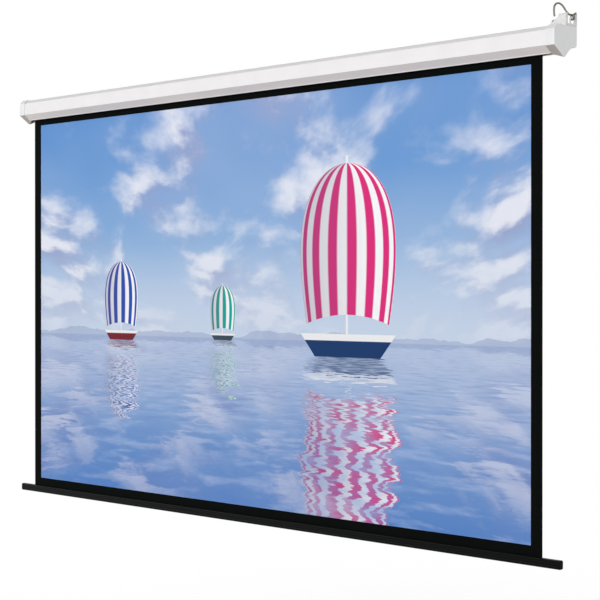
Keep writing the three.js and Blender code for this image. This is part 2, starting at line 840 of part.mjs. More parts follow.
// Motor, from its head at the left plate to the shaft that drives the roller
const headLeftX = -(caseEndX - motorHeadGap + 2 * fitGap);
const headRightX = headLeftX + motorHeadLength;
const motorRightX = headRightX + fitGap + motorLength;
const shaftLeftX = motorRightX + fitGap;

function motorHead() {
  const half = studSide / 2;
  const square = plain(box([rollerY - half, rollerZ - half], [rollerY + half, rollerZ + half]));
  const collar = rodX(motorHeadRadius, headLeftX, headRightX, rollerY, rollerZ, tubeSides);
  const stud = alongX(square, -caseEndX - plateThickness - studReach, headLeftX + fitGap);
  const spacerRadius = motorHeadRadius / 2;
  const spacer = rodX(spacerRadius, -caseEndX + fitGap, headLeftX + fitGap, rollerY, rollerZ, tubeSides);
  let head = collar.add(stud).add(spacer);
  for (const place of limitScrewPlaces()) {
    head = head.subtract(screwHole(limitScrew, place, new THREE.Vector3(0, -1, 0)));
  }
  return head;
}

function limitScrewPlaces() {
  const flat = motorHeadRadius * Math.cos(Math.PI / tubeSides);
  const centre = (headLeftX + headRightX) / 2;
  return [-1, 1].map(
    (way) => new THREE.Vector3(centre + (way * limitScrewSpacing) / 2, rollerY - flat, rollerZ),
  );
}

// A toothed crown that fills the space between a core and the tube's bore
function crown(outer, fromX, toX) {
  let ring = rodX(outer, fromX, toX, rollerY, rollerZ, tubeSides);
  for (let index = 0; index < crownGrooves; index += 1) {
    const angle = ((index + 0.5) / crownGrooves) * 2 * Math.PI;
    const half = crownGrooveWidth / 2;
    const groove = new THREE.BoxGeometry(toX - fromX + 2 * overrun, 2 * half, 2 * crownGrooveDepth);
    groove.translate((fromX + toX) / 2, 0, outer);
    groove.rotateX(angle).translate(0, rollerY, rollerZ);
    ring = ring.subtract(solidOf(groove));
  }
  return ring;
}

function driveShaft(grow) {
  const radius = shaftRadius + grow;
  const flat = shaftFlat + grow;
  const shaft = rodX(radius, shaftLeftX, shaftLeftX + shaftLength, rollerY, rollerZ, tubeSides);
  const low = [rollerY - 2 * radius, rollerZ + flat];
  const cut = plain(box(low, [rollerY + 2 * radius, rollerZ + 2 * radius]));
  return shaft.subtract(alongX(cut, shaftLeftX - overrun, shaftLeftX + shaftLength + overrun));
}

function driveCrown() {
  const outer = tubeBore - fitGap;
  const fromX = shaftLeftX + fitGap;
  const bore = driveShaft(fitGap);
  return crown(outer, fromX, fromX + crownLength).subtract(bore);
}

function limitCrown() {
  const outer = tubeBore - fitGap;
  const fromX = headRightX + 2 * fitGap;
  const bore = motorRadius + fitGap;
  return ringX(outer, bore, fromX, fromX + limitCrownLength, rollerY, rollerZ);
}

// The idler end: a plug in the tube turns on a steel axle in a nylon bush
const idlerFlangeX = tubeHalfLength + fitGap;
const axleTipX = caseEndX + plateThickness + axleEndGap;

function idlerPlug() {
  const barrelLeftX = tubeHalfLength - idlerPlugLength;
  const barrel = rodX(tubeBore - fitGap, barrelLeftX, idlerFlangeX, rollerY, rollerZ, tubeSides);
  const flangeEnd = idlerFlangeX + idlerFlangeThickness;
  const flange = rodX(tubeRadius, idlerFlangeX, flangeEnd, rollerY, rollerZ, tubeSides);
  const seat = rodX(axleRadius + fitGap, tubeHalfLength - axleInset, endX, rollerY, rollerZ, holeSides);
  return barrel.add(flange).subtract(seat);
}

function idlerAxle() {
  const innerX = tubeHalfLength - axleInset + fitGap;
  return rodX(axleRadius, innerX, axleTipX, rollerY, rollerZ, holeSides);
}

function idlerBush() {
  const bore = axleRadius + fitGap;
  const flangeX = caseEndX - bushFlangeThickness;
  const barrelEnd = caseEndX + plateThickness + bushReach;
  return rodX(bushFlangeRadius, flangeX, caseEndX, rollerY, rollerZ, holeSides)
    .add(rodX(bore + bushWall, flangeX, barrelEnd, rollerY, rollerZ, holeSides))
    .subtract(rodX(bore, flangeX - overrun, barrelEnd + overrun, rollerY, rollerZ, holeSides));
}

function addRoller() {
  piece("motor_head", motorHead(), motorPlastic);
  limitScrewPlaces().forEach((place, index) => {
    piece("limit_screw_" + (index + 1), screw(limitScrew, place, new THREE.Vector3(0, -1, 0)), redPlastic);
  });
  const motor = rodX(motorRadius, headRightX + fitGap, motorRightX, rollerY, rollerZ, tubeSides);
  piece("motor_tube", motor, motorSteel);
  piece("motor_shaft", driveShaft(0), zincSteel);
  piece("drive_crown", driveCrown(), motorPlastic);
  piece("limit_crown", limitCrown(), motorPlastic);
  const tube = ringX(tubeRadius, tubeBore, -tubeHalfLength, tubeHalfLength, rollerY, rollerZ);
  piece("roller_tube", tube, tubeAluminium);
  const wound = ringX(woundRadius, woundInner, -fabricHalfWidth, fabricHalfWidth, rollerY, rollerZ);
  piece("wound_fabric", wound, borderBlack, screen);
  piece("idler_plug", idlerPlug(), nylon);
  piece("idler_axle", idlerAxle(), zincSteel);
  piece("idler_bush", idlerBush(), nylon);
}

// The cable gland in the left end cap's wall
function cableGland() {
  const outerX = -endX - glandFlangeThickness;
  const innerX = -endX + capEndWall + glandInner;
  const z = -glandDrop;
  return rodX(glandFlangeRadius, outerX, -endX, -glandSetback, z, holeSides)
    .add(rodX(glandRadius, outerX, innerX, -glandSetback, z, holeSides))
    .subtract(rodX(glandBore, outerX - overrun, innerX + overrun, -glandSetback, z, holeSides));
}

// Fabric: the hanging sheet, and the black border on its front
function hangingFabric() {
  const foot = keywayZ + rodRadius + fitGap;
  const outline = plain(box([-fabricHalfWidth, foot], [fabricHalfWidth, rollerZ]));
  return alongY(outline, fabricFrontY, fabricRearY);
}

function blackBorder() {
  const outline = plain(box([-fabricHalfWidth, barTopZ + fitGap], [fabricHalfWidth, rollerZ]));
  const half = pictureWidth / 2;
  const window = plain(box([-half, pictureFootZ], [half, pictureTopZ]));
  const frontY = fabricFrontY - maskingThickness;
  return alongY(outline, frontY, fabricFrontY).subtract(
    alongY(window, frontY - overrun, fabricFrontY + overrun),
  );
}

// Bottom bar: an extruded profile with a keyway for the fabric's rod
function barOutline() {
  const half = barDepth / 2;
  const low = [-fabricSetback - half, barTopZ - barHeight];
  return box(low, [-fabricSetback + half, barTopZ]);
}

function bottomBar() {
  const end = barHalfLength - barPlugLength;
  const past = end + overrun;
  const frontY = -fabricSetback - barDepth / 2;
  let bar = alongX(rounded(barOutline(), barCornerRadius), -end, end);
  const half = keywayWidth / 2;
  const mouth = plain(box([-fabricSetback - half, keywayZ], [-fabricSetback + half, barTopZ + overrun]));
  bar = bar.subtract(alongX(mouth, -past, past));
  bar = bar.subtract(rodX(keywayRadius, -past, past, -fabricSetback, keywayZ, holeSides));
  bar = bar.subtract(alongX(rounded(chamberOutline(0), chamberCorner), -past, past));
  const grooveHalf = barGrooveWidth / 2;
  const centre = barTopZ - barHeight / 2;
  for (const z of [centre + barGrooveSpacing / 2, centre - barGrooveSpacing / 2]) {
    const groove = plain([
      point(frontY - overrun, z + grooveHalf),
      point(frontY, z + grooveHalf),
      point(frontY + barGrooveDepth, z),
      point(frontY, z - grooveHalf),
      point(frontY - overrun, z - grooveHalf),
    ]);
    bar = bar.subtract(alongX(groove, -past, past));
  }
  return bar;
}

// The hollow below the keyway, made smaller all round by a gap for the plugs' tongues
function chamberOutline(gap) {
  const half = chamberWidth / 2 - gap;
  const foot = barTopZ - barHeight + chamberFloor + gap;
  return box([-fabricSetback - half, foot], [-fabricSetback + half, foot + chamberHeight - 2 * gap]);
}

function barPlug(side) {
  const seat = side * (barHalfLength - barPlugLength);
  const outer = side * barHalfLength;
  const tongueTip = seat - side * barPlugTongue;
  const longer = seat - side * 2 * barPlugEdge;
  let plug = alongX(rounded(barOutline(), barCornerRadius), longer, outer, barPlugEdge);
  const half = barDepth;
  const trimLow = [-fabricSetback - half, barTopZ - 2 * barHeight];
  const trim = box(trimLow, [-fabricSetback + half, barTopZ + overrun]);
  plug = plug.subtract(alongX(plain(trim), tongueTip, seat));
  const tongue = rounded(chamberOutline(fitGap), chamberCorner - fitGap);
  return plug.add(alongX(tongue, tongueTip, seat + side * barPlugEdge));
}

function fabricRod() {
  const end = barHalfLength - barPlugLength - fitGap;
  return rodX(rodRadius, -end, end, -fabricSetback, keywayZ, holeSides);
}

function addScreen() {
  piece("projection_fabric", hangingFabric(), screenWhite, screen);
  piece("black_masking", blackBorder(), borderBlack, screen);
  piece("bottom_bar", bottomBar(), barBlack, footBar);
  piece("bar_plug_left", barPlug(-1), plugBlack, footBar);
  piece("bar_plug_right", barPlug(1), plugBlack, footBar);
  piece("fabric_rod", fabricRod(), nylon, footBar);
}

piece("case_shell", caseShell(), caseWhite);
addEnds();
addKeyholePlates();
addHanger();
addRoller();
piece("cable_gland", cableGland(), plugBlack);
addScreen();

export default screen;
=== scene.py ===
"""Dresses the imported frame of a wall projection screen.

The CAD part gives the white case with its end caps, the hanger bracket, the roller with its motor and
the black bottom bar. This script gives every piece its finish, builds the hook's wire, the screws, the
fabric with its black border and the turns on the roller, and sets up the camera, lights and floor.

Everything is in metres in the frame of the CAD part: +X to the viewer's right, +Y into the wall, +Z up.
"""

import logging
import math
from collections.abc import Iterable, Sequence
from dataclasses import dataclass
from enum import Enum
from typing import NamedTuple

import bmesh
import bpy
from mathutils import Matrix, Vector


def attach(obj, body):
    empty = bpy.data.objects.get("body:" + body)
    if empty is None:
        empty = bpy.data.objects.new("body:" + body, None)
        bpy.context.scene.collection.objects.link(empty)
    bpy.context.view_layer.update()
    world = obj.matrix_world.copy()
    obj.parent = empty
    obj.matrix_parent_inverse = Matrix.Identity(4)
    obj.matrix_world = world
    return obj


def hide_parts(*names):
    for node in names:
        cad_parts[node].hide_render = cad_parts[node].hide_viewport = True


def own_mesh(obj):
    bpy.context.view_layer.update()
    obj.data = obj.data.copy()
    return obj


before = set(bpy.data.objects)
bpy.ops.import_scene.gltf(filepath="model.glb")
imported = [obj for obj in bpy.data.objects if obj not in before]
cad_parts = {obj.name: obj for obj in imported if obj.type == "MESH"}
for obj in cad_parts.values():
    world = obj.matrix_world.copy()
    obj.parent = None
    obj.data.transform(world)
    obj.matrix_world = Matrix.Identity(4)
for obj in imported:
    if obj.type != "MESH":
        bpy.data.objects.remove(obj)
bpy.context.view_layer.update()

log = logging.getLogger("projection_screen")

MM = 0.001
FIT_GAP = 0.3 * MM
WELD_REACH = 0.01 * MM
SMOOTH_ANGLE = math.radians(38)
BEVEL_SEGMENTS = 2

Socket = bpy.types.NodeSocket
Triple = tuple[float, float, float]


class Body(Enum):
    """The bodies of the CAD part that pieces ride on."""

    CASE = "case"
    ROLLER = "roller"
    BOTTOM_BAR = "bottom_bar"
    HOOK = "hook"


class Slot(Enum):
    """The material slots of the CAD part's record."""

    CASE_PAINT = "case_paint"
    CAP_PLASTIC = "cap_plastic"
    BRACKET_PAINT = "bracket_paint"
    ZINC_STEEL = "zinc_steel"
    BLACK_STEEL = "black_steel"
    HOOK_WIRE = "hook_wire"
    TUBE_ALUMINIUM = "tube_aluminium"
    MOTOR_STEEL = "motor_steel"
    BLACK_PLASTIC = "black_plastic"
    NYLON = "nylon"
    RED_PLASTIC = "red_plastic"
    PICTURE_FABRIC = "picture_fabric"
    BORDER_BLACK = "border_black"
    BAR_BLACK = "bar_black"


class Coordinates(Enum):
    """What a pattern is measured along."""

    OBJECT = "Object"
    LENGTHWISE = "UV"


class Fade(NamedTuple):
    """A value that runs from low to high while what it follows runs from start to end."""

    start: float
    end: float
    low: float = 0.0
    high: float = 1.0


class Grain(NamedTuple):
    """The look of a noise: patches per unit, octaves, and how rough and how twisted it is."""

    scale: float = 1.0
    detail: float = 2.0
    roughness: float = 0.5
    distortion: float = 0.0

    def inputs(self) -> dict[str, float]:
        """Gives the values by the names of the noise node's inputs."""
        return {name.capitalize(): value for name, value in self._asdict().items()}


# A noise varies round its middle, and two that are added fill about the span
NOISE_MIDDLE = 0.5
ADDED_NOISE_SPAN = (0.7, 1.3)

# How far up a face looks where the painted shade on upward faces begins and is full, and how far down where
# the painted shade on downward faces begins and is full
TOP_SHADE_FADE = Fade(0.3, 0.62)
UNDERSIDE_FADE = Fade(-0.25, -0.7)


def linear_colour(code: str) -> tuple[float, float, float, float]:
    """Turns an sRGB hex colour to the linear values that Blender's sockets take.

    Args:
        code: Six hex digits after a hash sign.

    Returns:
        Red, green and blue, and an alpha of 1.
    """
    # The numbers are those of the sRGB curve
    red, green, blue = (
        share / 12.92 if share <= 0.04045 else ((share + 0.055) / 1.055) ** 2.4
        for share in (int(code[place : place + 2], 16) / 255 for place in (1, 3, 5))
    )
    return red, green, blue, 1.0


@dataclass(frozen=True)
class Recipe:
    """A node tree that is written one node at a time."""

    tree: bpy.types.NodeTree

    @classmethod
    def blank(cls, holder: bpy.types.Material | bpy.types.World) -> "Recipe":
        """Empties a node tree.

        Args:
            holder: The material or the world that it belongs to.

        Returns:
            The empty tree, ready for its first node.
        """
        holder.use_nodes = True
        holder.node_tree.nodes.clear()
        return cls(holder.node_tree)

    def add(
        self,
        kind: str,
        *inputs: object,
        output: int | str = 0,
        into: dict[int | str, object] | None = None,
        stops: Sequence[tuple[float, str]] = (),
        **settings: object,
    ) -> Socket | None:
        """Adds a node with its settings and links.

        Args:
            kind: The node's type after its ShaderNode prefix.
            *inputs: Sockets, values or hex colours for the inputs in their order; None skips one.
            output: The output to hand back, by its place or name.
            into: The same as inputs, by the input's name or place.
            stops: Places and hex colours, where the node is a colour ramp.
            **settings: The node's own settings.

        Returns:
            The chosen output, or None for a node that has none.
        """
        node = self.tree.nodes.new("ShaderNode" + kind)
        for name, value in settings.items():
            setattr(node, name, value)
        for number, (position, code) in enumerate(stops):
            elements = node.color_ramp.elements
            element = elements[number] if number < len(elements) else elements.new(position)
            element.position = position
            element.color = linear_colour(code)
        for key, value in [*enumerate(inputs), *(into or {}).items()]:
            if isinstance(value, Socket):
                self.tree.links.new(value, node.inputs[key])
            elif value is not None:
                node.inputs[key].default_value = linear_colour(value) if isinstance(value, str) else value
        return node.outputs[output] if node.outputs else None


@dataclass(frozen=True)
class Finish:
    """A surface whose tone and gloss drift slowly and which has a fine relief.

    Faces that look up can be given a painted shade, and faces that look down a warmer, darker painted
    shade.
    """

    name: str
    colour: str
    shade: str
    roughness: float
    gloss_spread: float
    grain: Triple
    relief: float
    drift: float
    drift_detail: float = 4.0
    metallic: float = 0.0
    specular: float = 0.5
    coordinates: Coordinates = Coordinates.OBJECT
    # Colours of the painted shade on faces that look up and on faces that look down; blank for none
    dust: str = ""
    underside: str = ""

    def weathered(self, recipe: Recipe, tone: Socket) -> Socket:
        """Writes the painted shade on faces that look up and the warmer painted shade on faces that look
        down, where the finish has them.

        Args:
            recipe: The node tree of the material.
            tone: The colour so far.

        Returns:
            The colour with both.
        """
        add = recipe.add
        # Painted shade: the colour darkens with the way a face looks, up or down, in place of light that
        # falls less on these faces
        facing = add("SeparateXYZ", add("NewGeometry", output="Normal"), output="Z")
        for code, fade in ((self.dust, TOP_SHADE_FADE), (self.underside, UNDERSIDE_FADE)):
            if code:
                tone = add("MixRGB", add("MapRange", facing, *fade), tone, code)
        return tone

    def surface(self, recipe: Recipe) -> dict[str, object]:
        """Writes the nodes of the pattern.

        Args:
            recipe: The node tree of the material.

        Returns:
            Sockets by the name of the shader's input that they feed.
        """
        add = recipe.add
        place = add("TexCoord", output=self.coordinates.value)
        wide = add("TexNoise", place, into=Grain(1 / self.drift, self.drift_detail).inputs())
        fine_place = add("VectorMath", place, tuple(1 / size for size in self.grain), operation="MULTIPLY")
        fine = add("TexNoise", fine_place, into=Grain().inputs())
        mixed = add("Math", wide, fine, operation="ADD")
        share = add("MapRange", mixed, *ADDED_NOISE_SPAN)
        low = self.roughness - self.gloss_spread
        high = self.roughness + self.gloss_spread
        return {
            "Base Color": self.weathered(recipe, add("MixRGB", share, self.shade, self.colour)),
            "Roughness": add("MapRange", mixed, *ADDED_NOISE_SPAN, low, high),
            "Normal": add("Bump", into={"Height": fine, "Distance": self.relief}),
        }

    def material(self) -> bpy.types.Material:
        """Builds the material with its shader and output.

        Returns:
            The new material.
        """
        material = bpy.data.materials.new(self.name)
        recipe = Recipe.blank(material)
        plain = {"Metallic": self.metallic, "Specular IOR Level": self.specular}
        shader = recipe.add("BsdfPrincipled", into=plain | self.surface(recipe))
        recipe.add("OutputMaterial", shader)
        return material


@dataclass(frozen=True)
class PowderCoatedSteel(Finish):
    """Sheet steel under a baked powder coat: satin, with a fine orange peel that softens highlights."""

    # Orange peel is about 2 mm across. The slow drift in tone is drawn 90 mm wide so that it shows.
    name: str = "powder_coated_steel"
    colour: str = "#f6f3f4"
    shade: str = "#f0edee"
    roughness: float = 0.36
    gloss_spread: float = 0.05
    grain: Triple = (2 * MM, 2 * MM, 2 * MM)
    relief: float = 0.03 * MM
    drift: float = 90 * MM
    # Painted shade: the top chamfer is greyed, and the lower slope is darkened and warmed, as if less lit
    dust: str = "#dad8d9"
    underside: str = "#ddd4ce"


@dataclass(frozen=True)
class MouldedAbs(Finish):
    """ABS moulded in a spark-eroded tool: a cooler white than the case, with a fine dull grain."""

    # Spark erosion leaves pits of about 0.4 mm, drawn 1.2 mm wide so that they show close up
    name: str = "moulded_abs"
    colour: str = "#f2f2f3"
    shade: str = "#ebecec"
    roughness: float = 0.5
    gloss_spread: float = 0.04
    grain: Triple = (1.2 * MM, 1.2 * MM, 1.2 * MM)
    relief: float = 0.03 * MM
    drift: float = 40 * MM
    # Painted shade: faces that look up are greyed a little, and faces that look down are darkened to a warm
    # grey
    dust: str = "#e0dfdf"
    underside: str = "#a8a19b"


@dataclass(frozen=True)
class EnamelledSteel(Finish):
    """Folded steel dipped in white enamel: as glossy as the case's coat, with slow waves in it."""

    # The enamel flows into waves of about 6 mm
    name: str = "enamelled_steel"
    colour: str = "#e9e9e8"
    shade: str = "#e2e3e1"
    roughness: float = 0.35
    gloss_spread: float = 0.03
    grain: Triple = (6 * MM, 6 * MM, 6 * MM)
    relief: float = 0.03 * MM
    drift: float = 25 * MM


@dataclass(frozen=True)
class ZincPlatedSteel(Finish):
    """Steel with bright zinc plating: a cool grey metal with cloudy patches of passivation."""

    # Patches of passivation are about 9 mm across, over marks of rolling 0.6 mm wide
    name: str = "zinc_plated_steel"
    colour: str = "#c3c7ca"
    shade: str = "#9da1a0"
    roughness: float = 0.34
    gloss_spread: float = 0.1
    grain: Triple = (0.6 * MM, 0.6 * MM, 5 * MM)
    relief: float = 0.01 * MM
    drift: float = 9 * MM
    metallic: float = 1.0


@dataclass(frozen=True)
class BlackOxideSteel(Finish):
    """Steel with an oiled black oxide: nearly black, with a brownish bloom where the oil is thin."""

    # The bloom comes in spots of about 3 mm
    name: str = "black_oxide_steel"
    colour: str = "#3a3a38"
    shade: str = "#262624"
    roughness: float = 0.42
    gloss_spread: float = 0.1
    grain: Triple = (0.5 * MM, 0.5 * MM, 0.5 * MM)
    relief: float = 0.01 * MM
    drift: float = 3 * MM
    metallic: float = 1.0


@dataclass(frozen=True)
class DrawnSteelWire(Finish):
    """Bare spring wire: dull dark grey with bright drawing lines along its length."""

    # Drawing lines are about 0.3 mm apart and 40 mm long. They run along the wire, so they follow its UVs.
    name: str = "drawn_steel_wire"
    colour: str = "#83837b"
    shade: str = "#55564f"
    roughness: float = 0.4
    gloss_spread: float = 0.1
    grain: Triple = (40 * MM, 0.3 * MM, 1.0)
    relief: float = 0.01 * MM
    drift: float = 12 * MM
    metallic: float = 1.0
    coordinates: Coordinates = Coordinates.LENGTHWISE


@dataclass(frozen=True)
class ExtrudedAluminium(Finish):
    """Aluminium tube as it leaves the press: pale, with fine die lines along its length."""

    # Die lines are about 0.8 mm apart
    name: str = "extruded_aluminium"
    colour: str = "#cbced1"
    shade: str = "#b3b7ba"
    roughness: float = 0.33
    gloss_spread: float = 0.08
    grain: Triple = (160 * MM, 0.8 * MM, 0.8 * MM)
    relief: float = 0.01 * MM
    drift: float = 60 * MM
    metallic: float = 1.0


@dataclass(frozen=True)
class DrawnSteelTube(Finish):
    """Galvanised motor tube: a darker, bluer grey than aluminium with small spangles."""

    # Spangles are about 4 mm across
    name: str = "drawn_steel_tube"
    colour: str = "#a0a6aa"
    shade: str = "#868c90"
    roughness: float = 0.4
    gloss_spread: float = 0.1
    grain: Triple = (4 * MM, 4 * MM, 4 * MM)
    relief: float = 0.01 * MM
    drift: float = 14 * MM
    metallic: float = 1.0


@dataclass(frozen=True)
class MouldedPolyamide(Finish):
    """Black glass-filled polyamide: dull, with slightly paler fibres just under the skin."""

    # Fibres show as flecks of about 0.7 by 3 mm along the flow, which here is along X
    name: str = "moulded_polyamide"
    colour: str = "#0d0e0f"
    shade: str = "#08090a"
    roughness: float = 0.55
    gloss_spread: float = 0.08
    grain: Triple = (3 * MM, 0.7 * MM, 0.7 * MM)
    relief: float = 0.02 * MM
    drift: float = 20 * MM
    specular: float = 0.05


@dataclass(frozen=True)
class NaturalNylon(Finish):
    """Undyed nylon: milky, slightly yellow and waxy."""

    # Turning marks are about 1 mm apart
    name: str = "natural_nylon"
    colour: str = "#dedbd0"
    shade: str = "#d0ccbe"
    roughness: float = 0.5
    gloss_spread: float = 0.08
    grain: Triple = (1 * MM, 4 * MM, 4 * MM)
    relief: float = 0.01 * MM
    drift: float = 15 * MM


@dataclass(frozen=True)
class RedAcetal(Finish):
    """Dyed acetal: a smooth, slightly glossy signal red."""

    # Flow marks of the small moulding are about 0.8 mm wide
    name: str = "red_acetal"
    colour: str = "#b93a30"
    shade: str = "#a5302a"
    roughness: float = 0.38
    gloss_spread: float = 0.06
    grain: Triple = (0.8 * MM, 0.8 * MM, 0.8 * MM)
    relief: float = 0.01 * MM
    drift: float = 4 * MM


@dataclass(frozen=True)
class BlackAnodisedAluminium(Finish):
    """Extruded bar with a black anodised skin: satin black that keeps the die lines of the extrusion."""

    # Die lines are about 0.6 mm apart, drawn 1.6 mm apart so that they show
    name: str = "black_anodised_aluminium"
    colour: str = "#0a0c0b"
    shade: str = "#060807"
    roughness: float = 0.34
    gloss_spread: float = 0.06
    grain: Triple = (220 * MM, 1.6 * MM, 1.6 * MM)
    relief: float = 0.02 * MM
    drift: float = 120 * MM
    specular: float = 0.05


@dataclass(frozen=True)
class WovenVinyl(Finish):
    """Vinyl on a glass-fibre weave: dead matt, with threads that just show through both ways."""

    # Threads are 0.5 mm apart, drawn 2.4 mm apart and 60 mm long so that they show close up
    name: str = "woven_vinyl"
    colour: str = "#0a0d0c"
    shade: str = "#070808"
    roughness: float = 0.85
    gloss_spread: float = 0.05
    grain: Triple = (2.4 * MM, 2.4 * MM, 60 * MM)
    relief: float = 0.05 * MM
    drift: float = 150 * MM
    specular: float = 0.04
    thread: Grain = Grain(detail=1.0)
    tone_span: tuple[float, float] = (0.15, 0.4)

    def threads(self, recipe: Recipe, place: Socket) -> Socket:
        """Writes the relief of the crossing threads.

        Args:
            recipe: The node tree of the material.
            place: The object coordinates.

        Returns:
            The height of the threads.
        """
        add = recipe.add
        narrow, depth, long = self.grain
        warp_place = add("VectorMath", place, (1 / narrow, 1 / depth, 1 / long), operation="MULTIPLY")
        weft_place = add("VectorMath", place, (1 / long, 1 / depth, 1 / narrow), operation="MULTIPLY")
        warp = add("TexNoise", warp_place, into=self.thread.inputs())
        weft = add("TexNoise", weft_place, into=self.thread.inputs())
        return add("Math", warp, weft, operation="MAXIMUM")

    def dressed(self, recipe: Recipe, colour: Socket, gloss: Socket, threads: Socket) -> dict[str, object]:
        """Writes the gloss and relief of the weave under a colour.

        Args:
            recipe: The node tree of the material.
            colour: The finished colour.
            gloss: What the roughness follows.
            threads: The height of the threads.

        Returns:
            Sockets by the name of the shader's input that they feed.
        """
        low = self.roughness - self.gloss_spread
        return {
            "Base Color": colour,
            "Roughness": recipe.add("MapRange", gloss, *Fade(0.0, 1.0, low)),
            "Normal": recipe.add("Bump", into={"Height": threads, "Distance": self.relief}),
        }

    def surface(self, recipe: Recipe) -> dict[str, object]:
        """Writes the weave over a slow drift in tone.

        Args:
            recipe: The node tree of the material.

        Returns:
            Sockets by the name of the shader's input that they feed.
        """
        add = recipe.add
        place = add("TexCoord", output="Object")
        threads = self.threads(recipe, place)
        wide = add("TexNoise", place, into=Grain(1 / self.drift).inputs())
        mixed = add("Math", threads, wide, operation="MULTIPLY")
        share = add("MapRange", mixed, *self.tone_span)
        tone = add("MixRGB", share, self.shade, self.colour)
        return self.dressed(recipe, tone, wide, threads)


@dataclass(frozen=True)
class BlackoutVinyl(WovenVinyl):
    """The rear of the fabric: a dark grey blackout coat, a little shinier than the printed front."""

    # The same weave shows more here, because the coat is thin
    name: str = "blackout_vinyl"
    colour: str = "#1c1d1f"
    shade: str = "#131416"
    roughness: float = 0.7
    relief: float = 0.09 * MM


@dataclass(frozen=True)
class Sky:
    """The picture's sky: a blue that pales to the horizon, and clouds that are lit from above."""

    # The clouds come about every 500 mm at the top of the picture and every 300 mm, flatter, far off
    far_edge: float = 1100 * MM
    cloud_size: float = 500 * MM
    lengthening: float = 5.0
    towards_light: Triple = (-0.03, -0.06, 0.0)
    puffs: Grain = Grain(3.6, 9.0, 0.53, 0.25)
    banks: Grain = Grain(1.2, 3.0)
    bank_share: float = 0.7
    cover: Fade = Fade(0.78, 0.98)
    cover_share: float = 0.9
    lighting: Fade = Fade(-0.06, 0.07)
    underneath: str = "#9daad2"
    lit: str = "#f0f1fa"
    blues: tuple[tuple[float, str], ...] = (
        (0.0, "#c6d7ec"),
        (0.2, "#a0c0e4"),
        (0.5, "#6b9dd8"),
        (1.0, "#4a84ca"),
    )
    veil: Fade = Fade(0.35, 0.65, 0.0, 0.42)
    veil_colour: str = "#bccde9"
    haze: Fade = Fade(0.0, 300 * MM, 0.8, 0.0)
    haze_colour: str = "#cfdbee"

    def paint(self, recipe: Recipe, across: Socket, height: Socket) -> Socket:
        """Writes the sky.

        Args:
            recipe: The node tree of the material.
            across: Metres to the right on the fabric.
            height: Metres above the horizon.

        Returns:
            The colour of the sky.
        """
        add = recipe.add
        shifted = add("Math", height, self.far_edge, operation="ADD")
        nearness = add("Math", self.cloud_size, shifted, operation="DIVIDE")
        sideways = add("Math", across, nearness, operation="MULTIPLY")
        stretched = add("Math", sideways, 1 / self.cloud_size, operation="MULTIPLY")
        lengthened = add("Math", nearness, self.lengthening, operation="MULTIPLY")
        place = add("CombineXYZ", stretched, lengthened, 0.0)
        above = add("VectorMath", place, self.towards_light, operation="ADD")
        thick = add("TexNoise", place, into=self.puffs.inputs())
        thinner = add("TexNoise", above, into=self.puffs.inputs())
        banks = add("TexNoise", place, into=self.banks.inputs())
        summed = add("Math", banks, self.bank_share, thick, operation="MULTIPLY_ADD")
        cover = add("MapRange", summed, *self.cover, interpolation_type="SMOOTHSTEP")
        slope = add("Math", thick, thinner, operation="SUBTRACT")
        lit = add("MapRange", slope, *self.lighting, interpolation_type="SMOOTHSTEP")
        sky = add("ValToRGB", height, stops=self.blues)
        sky = add("MixRGB", add("MapRange", banks, *self.veil), sky, self.veil_colour)
        body = add("MixRGB", lit, self.underneath, self.lit)
        clouded = add("MixRGB", add("Math", cover, self.cover_share, operation="MULTIPLY"), sky, body)
        return add("MixRGB", add("MapRange", height, *self.haze), clouded, self.haze_colour)


